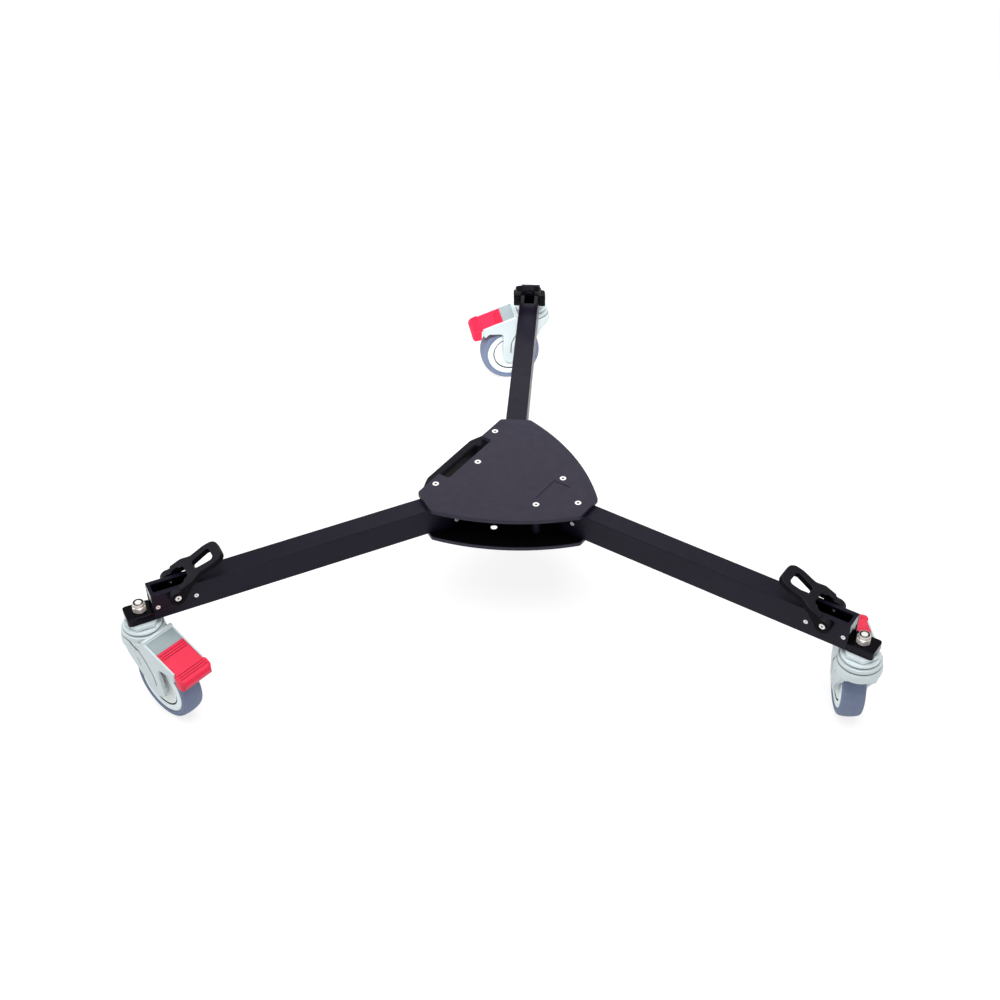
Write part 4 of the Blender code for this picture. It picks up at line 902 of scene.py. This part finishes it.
def housing_body(foot_radius):
    """Flat body of the housing with its two cheeks and the hooked tail."""
    shoulder, end, soft = -0.0195, 0.086, 0.0024
    front, right, foot = 0.019, TRAIL + foot_radius, -DROP - foot_radius
    outline = rounded([
        (-0.015, shoulder, 0.003), (-0.015, -0.038, 0.006), (-0.009, -0.052, 0.01),
        (0.006, -0.069, 0.012), (front, -0.088, 0.01), (front, foot, foot_radius - 0.0001),
        (right, foot, foot_radius - 0.0001), (right, -0.0455, 0.006), (0.076, -0.043, 0.004),
        (0.0815, -0.0495, soft), (end, -0.044, soft), (end, tail_height(end), soft),
        (0.025, tail_height(0.025), 0.002), (0.022, shoulder, 0)], 15)
    return painted(slab(outline, 2 * HALF, 0.0018, 3), "housing", "panel_and_shade", "groove", "moat")


def housing_dome():
    """Round dome under the swivel ring."""
    bottom = -0.04
    return turned(rounded([(0.0, HOUSING_TOP, 0), (0.0282, HOUSING_TOP, 0.0014), (0.0282, -0.0205, 0.003),
                           (0.03, -0.024, 0.006), (0.0303, -0.032, 0.006), (0.0262, bottom, 0.004),
                           (0.0, bottom, 0)], 10), 96)


def housing_ridge():
    """Raised ridge behind the swivel ring."""
    low = tail_height(RIDGE_END) - 0.002
    start = RING_RADIUS + 0.0012
    return slab(rounded([(start - 0.0025, low, 0), (RIDGE_END, low, 0), (RIDGE_END, RIDGE_TOP, 0.0008),
                         (start, RIDGE_TOP, 0.0012)], 20), 2 * HALF - 0.0012)


def housing_hollows():
    """Cutters of the wheel well, the pedal's opening and the sloping panel."""
    roof = PEDAL_START - GAP
    under, ceiling, far, low = 0.0042, -0.0335, 0.1, -0.13
    well = [(-0.05, ceiling), (0.024, ceiling), (RIDGE_END + 0.002, tail_height(RIDGE_END) - under),
            (roof + 0.001, tail_height(roof) - under), (far, tail_height(far) - under), (far, low),
            (-0.05, low)]
    rise = tail_height(roof)
    slant = math.tan(SLOPE)
    deep, back = rise - 0.006, 0.095
    opening = [(roof - rise * slant, 0.0), (roof + (deep - rise) * slant, deep),
               (back, tail_height(back) - 0.0125), (back, 0.0)]
    first, last = RIDGE_END + 0.0012, roof + 0.002
    panel_and_shade = box((0.0, -PEDAL_HALF, -0.0007), ((last - first) / math.cos(SLOPE), PEDAL_HALF, 0.002))
    slope = Matrix.Translation((first, 0.0, tail_height(first))) @ Matrix.Rotation(SLOPE, 4, "Y")
    return [(CUT, slab(well, 0.034)), (CUT, slab(opening, 2 * (PEDAL_HALF + GAP))),
            (CUT, moved(panel_and_shade, slope), 1)]


def cheek_cutters(foot_radius):
    """Cutters that taper the cheeks outside, and those of the dark undercuts beside the wheel."""
    foot, step = -DROP - foot_radius, -0.05335
    right = Matrix.Translation((TRAIL + foot_radius, 0.0, 0.0))
    tapers, undercuts = [], []
    for side in (-1, 1):
        wedge = [(HALF + 0.0004, step), (HALF - 0.0045, foot - 0.005), (HALF + 0.01, foot - 0.005),
                 (HALF + 0.01, step)]
        under = [(0.0165, -0.0445), (0.0222, -0.0445), (0.0184, -0.064), (0.0184, foot + 0.004),
                 (0.0165, foot + 0.004)]
        wedge, under = ([(side * y, z) for y, z in outline] for outline in (wedge, under))
        tapers.append((CUT, moved(extruded([wedge], 0.3), ACROSS)))
        undercuts.append((CUT, moved(extruded([under], 0.0045), right @ ACROSS), 3))
    return tapers, undercuts


def scored(mesh):
    """Housing after its lines: a groove around cheeks and nose, and a crease on each cheek."""
    tree = BVHTree.FromPolygons([v.co for v in mesh.vertices], [tuple(p.vertices) for p in mesh.polygons])
    outside = 0.05
    groove = smooth_line([
        (-0.0011, -0.0183), (0.0055, -0.0202), (0.0124, -0.025), (0.0166, -0.0314), (0.0216, -0.0376),
        (0.0273, -0.0442), (0.0319, -0.051), (0.036, -0.058), (0.0384, -0.066), (0.039, -0.076),
        (0.039, -0.084)])
    crease = smooth_line([(0.0105, -0.0478), (0.0141, -0.0541), (0.0162, -0.0595)])

    def from_side(line, side):
        return [(Vector((x, side * outside, z)), Vector((0.0, -side, 0.0))) for x, z in line]

    nose = [(Vector((x, y, -0.0193)), Vector((-x, -y, 0.0)).normalized())
            for x, y in arc((0.0, 0.0), outside, 100, 260, 40)]
    lines = [(from_side(groove, 1)[::-1] + nose + from_side(groove, -1), 0.0011),
             (from_side(crease, -1), 0.0007), (from_side(crease, 1), 0.0007)]
    cuts = []
    for rays, radius in lines:
        path = []
        for start, way in rays:
            hit = tree.ray_cast(start, way)[0]
            if hit is not None and (not path or (hit - path[-1]).length > 0.0004):
                path.append(hit - way * radius * 0.15)
        cuts.append((CUT, swept(path, radius), 2))
    return carved(mesh, *cuts)


def housing_mesh():
    """Moulded caster housing with its ridge, recessed panel and the lines on its cheeks."""
    foot_radius = 0.0145
    tapers, undercuts = cheek_cutters(foot_radius)
    mesh = carved(housing_body(foot_radius), *tapers, (JOIN, housing_dome()), (JOIN, housing_ridge()),
                  *housing_hollows(), *undercuts)
    # The flat shoulder beside the dome is painted shade with the panel's darker grey.
    return scored(marked(mesh, 1, lambda centre, normal: normal.z > 0.95 and -0.0205 < centre.z < -0.0185))


def ring_mesh():
    """Swivel ring with a soft upper edge and a seal groove."""
    bore, outside, top, low = 0.0113, RING_RADIUS, RING_TOP, RING_BOTTOM
    profile = rounded([(bore, top, 0), (outside - 0.0012, top, 0.0006), (outside, top - 0.0016, 0.0006),
                       (outside, low + 0.002, 0.0003), (outside - 0.002, low + 0.0016, 0),
                       (outside - 0.002, low, 0), (bore, low, 0)], 15)
    return marked(painted(turned(profile, 96, ring=True), "flange", "moat"), 1,
                  lambda centre, normal: centre.z < low + 0.0019 and centre.xy.length > outside - 0.0025)


def rim_mesh():
    """Wheel rim: broad pale ring with a rolled inner lip and a web behind the guards."""
    recess, lip = GUARD_BACK - GAP, 0.0302
    half = [(0.0053, recess, 0), (lip, recess, 0), (lip, RIM_FACE - 0.0008, 0.0003),
            (0.0312, RIM_FACE, 0.0005), (0.0385, RIM_FACE - 0.0002, 0.0006), (0.0397, RIM_FACE - 0.0012, 0)]

    def is_recess_wall(centre, normal):
        return 0.0299 < centre.xy.length < 0.0304 and abs(centre.z) < RIM_FACE - 0.001

    rim = painted(turned(rounded(mirrored(half), 15), 96, ring=True), "rim", "moat")
    return moved(marked(rim, 1, is_recess_wall), toward("Y"))


def tyre_mesh():
    """Tyre with a crowned tread, round shoulders and a bead line beside the rim."""
    half = [(0.04, 0.014, 0), (0.04, 0.0149, 0.0002), (0.0412, 0.0153, 0.0004), (0.0448, 0.0154, 0.003),
            (0.0478, 0.014, 0.003), (0.0491, 0.01, 0.006), (0.0498, 0.005, 0.01), (0.05, 0.0, 0)]
    return painted(moved(turned(rounded(mirrored(half), 15), 128, ring=True), toward("Y")), "tyre")


def guard_mesh():
    """Thread guard: shallow dish with a raised middle and a rounded rim."""
    bore, rim, face, back = 0.0053, 0.0297, GUARD_FACE, GUARD_BACK
    profile = rounded([(bore, face - 0.0006, 0.0003), (0.0082, face - 0.0006, 0.0008),
                       (0.01, face - 0.0022, 0.001), (0.02, face - 0.0018, 0.01),
                       (0.0276, face - 0.0006, 0.0014), (0.0284, face - 0.0014, 0.0004),
                       (0.0285, back + 0.0008, 0), (rim, back + 0.0008, 0), (rim, back, 0),
                       (bore, back, 0)], 15)
    guard = marked(painted(turned(profile, 96, ring=True), "guard", "moat"), 1,
                   lambda centre, normal: centre.xy.length > 0.0283)
    return moved(guard, toward("Y"))


def pedal_cap(end, wide_from):
    """Rounded deep end of the pedal."""
    top = tail_height(end)
    low = top - 0.015
    outline = rounded([
        (wide_from, tail_height(wide_from + 0.002) - 0.002, 0), (wide_from + 0.0005, low + 0.002, 0.004),
        (end - 0.003, low, 0.006), (end, top - 0.002, 0.004), (end - 0.007, tail_height(end - 0.007), 0)], 12)
    plan = rounded(mirrored([(wide_from - 0.01, PEDAL_WIDE + 0.001, 0), (wide_from, PEDAL_WIDE, 0),
                             (end, PEDAL_WIDE, 0.0095)]))
    return carved(slab(outline, 2 * PEDAL_WIDE, 0.0018, 3), (KEEP, extruded([plan], 0.3)))


def pedal_boss(thick):
    """Boss around the pedal's pin with the shoe, which lies on the tyre when the pedal is pressed."""
    x, z = PEDAL_PIN
    radius, reach = 0.0045, 0.0506
    back = Matrix.Rotation(math.radians(PEDAL_TIP), 2)
    shoe = []
    for angle in (64.0, 52.0):
        pressed_x, pressed_z = polar(reach, angle, (TRAIL, -DROP))
        at_rest = back @ Vector((pressed_x - x, pressed_z - z))
        shoe.append((at_rest[0] + x, at_rest[1] + z))
    start, end = x - radius, shoe[1][0] + 0.002
    outline = [(start, tail_height(start) - thick / 2)] + arc((x, z), radius, 180, 250, 12) + shoe
    return slab(outline + [(end, tail_height(end) - thick / 2)], 0.028)


def pedal_mesh():
    """Brake pedal: ribbed plate, rounded deep end, boss and shoe."""
    end, wide_from, thick = 0.1055, 0.088, 0.004
    length = (end - 0.002 - PEDAL_START) / math.cos(SLOPE)
    wide = (wide_from - PEDAL_START) / math.cos(SLOPE)
    plan = rounded(mirrored([(0.0, PEDAL_HALF, 0.0014), (wide, PEDAL_HALF, 0.0012),
                             (wide + 0.0015, PEDAL_WIDE, 0.003), (length, PEDAL_WIDE, 0.009)]), 12)
    slope = Matrix.Translation((PEDAL_START, 0.0, tail_height(PEDAL_START))) @ Matrix.Rotation(SLOPE, 4, "Y")
    plate = moved(shifted(extruded([plan], thick, 0.0009, 3), z=-thick / 2), slope)
    narrow, broad, pitch = PEDAL_HALF - 0.0016, PEDAL_WIDE - 0.0034, 0.0036
    grooves = [(pitch, narrow, 0.0005), (2 * pitch, narrow, 0.0005), (3 * pitch, narrow, 0.0004)]
    grooves += [(length - 0.0142 + i * pitch, broad, 0.0005) for i in range(3)]
    steps = [(JOIN, pedal_cap(end, wide_from)), (JOIN, pedal_boss(thick))]
    for place, half, deep in grooves:
        groove = extruded([rectangle(place, place + 0.001, half, 0.0004, 30)], 2 * deep)
        steps.append((CUT, moved(groove, slope), 1))
    pedal = carved(painted(plate, "pedal", "rib"), *steps)
    return shifted(eased(pedal, 0.00025, 1, 40.0), -PEDAL_PIN[0], 0.0, -PEDAL_PIN[1])


def build_caster(arm, meshes):
    """One caster with its wheel and pedal."""
    swivel = joint_place(f"{arm}_swivel", f"{arm}_wheel_spin")
    dressed(f"{arm}_caster_housing", meshes["housing"], swivel)
    dressed(f"{arm}_swivel_ring", meshes["ring"], swivel)
    axle = joint_place(f"{arm}_wheel_spin")
    for part in ("wheel_rim", "tyre", "thread_guard_a", "thread_guard_b"):
        dressed(f"{arm}_{part}", meshes[part], axle)
    dressed(f"{arm}_brake_pedal", meshes["pedal"], joint_place(f"{arm}_pedal_tip"))


def finish_plain_nodes():
    """Nodes whose own shape shows get their real finish."""
    for arm in ARMS:
        for part, surface in (("hinge_block", "cast"), ("wheel_axle", "steel"), ("pedal_pin", "steel")):
            materials = frame["nodes"][f"{arm}_{part}"].data.materials
            materials.clear()
            materials.append(SURFACES[surface])


# Stage

def floor_paper():
    """White paper that is plain to the camera, shades softly near the object and mirrors weakly."""
    paper = bpy.data.materials.new("floor_paper")
    paper.use_nodes = True
    tree = paper.node_tree
    tree.nodes.clear()
    rays = tree.nodes.new("ShaderNodeLightPath")
    seen = rays.outputs["Is Camera Ray"]
    where = tree.nodes.new("ShaderNodeTexCoord")
    away = tree.nodes.new("ShaderNodeVectorMath")
    away.operation = "LENGTH"
    tree.links.new(where.outputs["Object"], away.inputs[0])

    def by_distance(near, far):
        return spread(tree, away.outputs["Value"], near, far, 0.9, 2.6)

    diffuse = tree.nodes.new("ShaderNodeBsdfDiffuse")
    feed(tree, diffuse.inputs["Color"], spread(tree, seen, 0.82, by_distance(0.34, 0.0)))
    glow = tree.nodes.new("ShaderNodeEmission")
    glow.inputs["Color"].default_value = WHITE
    direct = combined(tree, "MULTIPLY", seen, by_distance(0.76, 1.0))
    in_mirrors = combined(tree, "MULTIPLY", rays.outputs["Is Glossy Ray"], 0.15)
    feed(tree, glow.inputs["Strength"], combined(tree, "MAXIMUM", direct, in_mirrors))
    both = tree.nodes.new("ShaderNodeAddShader")
    tree.links.new(diffuse.outputs["BSDF"], both.inputs[0])
    tree.links.new(glow.outputs["Emission"], both.inputs[1])
    out = tree.nodes.new("ShaderNodeOutputMaterial")
    tree.links.new(both.outputs["Shader"], out.inputs["Surface"])
    return paper


def build_floor():
    """Pale floor under the wheels."""
    bpy.ops.mesh.primitive_plane_add(size=40.0, location=(0.0, 0.0, CAD_BOX[0].z))
    floor = bpy.context.object
    floor.name = "floor"
    floor.data.materials.append(floor_paper())


def build_surroundings():
    """White surroundings that light the object at less than half strength."""
    world = bpy.data.worlds.new("studio")
    bpy.context.scene.world = world
    world.use_nodes = True
    tree = world.node_tree
    tree.nodes.clear()
    rays = tree.nodes.new("ShaderNodeLightPath")
    sky = tree.nodes.new("ShaderNodeBackground")
    sky.inputs["Color"].default_value = WHITE
    feed(tree, sky.inputs["Strength"], spread(tree, rays.outputs["Is Camera Ray"], 0.45, 1.0))
    out = tree.nodes.new("ShaderNodeOutputWorld")
    tree.links.new(sky.outputs["Background"], out.inputs["Surface"])


def lamp(name, kind, power, place, aim):
    """New lamp at a place, aimed at a point."""
    data = bpy.data.lights.new(name, kind)
    data.energy = power
    obj = linked(name, data)
    obj.location = place
    obj.rotation_euler = (Vector(aim) - Vector(place)).to_track_quat("-Z", "Y").to_euler()
    return data


def build_lamps():
    """Soft square lamps around the object and a wide soft spot on the far caster."""
    middle = (0.05, 0.0, -0.1)
    for name, place, size, power in (
            ("top_light", (0.2, -0.3, 2.6), 2.4, 60.0), ("left_light", (-2.2, -1.6, 1.5), 1.6, 18.0),
            ("back_light", (-1.5, 2.4, 1.8), 1.8, 11.0), ("right_light", (2.4, -0.4, 1.0), 1.4, 5.0)):
        soft = lamp(name, "AREA", power, place, middle)
        soft.shape = "SQUARE"
        soft.size = size
    far = lamp("far_light", "SPOT", 330.0, (0.55, -0.75, 1.6), (-0.27, 0.46, -0.1))
    far.spot_size = math.radians(15.0)
    far.spot_blend = 1.0
    far.shadow_soft_size = 0.3


def build_camera():
    """Camera as it was fitted to the photograph."""
    yaw, pitch, roll = (math.radians(angle) for angle in (-34.93, 39.138, -0.904))
    look = Vector((math.sin(yaw) * math.cos(pitch), math.cos(yaw) * math.cos(pitch), -math.sin(pitch)))
    right = Vector((math.cos(yaw), -math.sin(yaw), 0.0))
    up = right.cross(look)
    across = math.cos(roll) * right + math.sin(roll) * up
    above = -math.sin(roll) * right + math.cos(roll) * up
    camera = linked("camera", bpy.data.cameras.new("camera"))
    turn = Matrix((across, above, -look)).transposed().to_4x4()
    camera.matrix_world = Matrix.Translation((0.9334, -1.3786, 1.31)) @ turn
    camera.data.lens = 55.216
    camera.data.sensor_width = 36.0
    camera.data.shift_x = 0.00734
    camera.data.clip_end = 100.0
    bpy.context.scene.camera = camera
    bpy.context.scene.view_settings.view_transform = "Standard"


build_floor()
build_surroundings()
build_lamps()
build_camera()
build_plates()
build_handle()
build_posts()
build_bolts()
MESHES = {
    "side_screw": flat_screw(SIDE_SCREW_HEAD, 0.0013, 0.004, 0.0009), "block": block_mesh(),
    "nut": nut_mesh(), "flange": flange_mesh(), "stem_tip": stem_tip_mesh(), "bail": bail_mesh(),
    "bail_screw": bail_screw_mesh(), "housing": housing_mesh(), "ring": ring_mesh(),
    "wheel_rim": rim_mesh(), "tyre": tyre_mesh(), "thread_guard_a": guard_mesh(),
    "thread_guard_b": moved(guard_mesh(), Matrix.Rotation(math.pi, 4, "Z")), "pedal": pedal_mesh(),
}
for name in ARMS:
    build_arm(name, MESHES)
    build_caster(name, MESHES)
finish_plain_nodes()
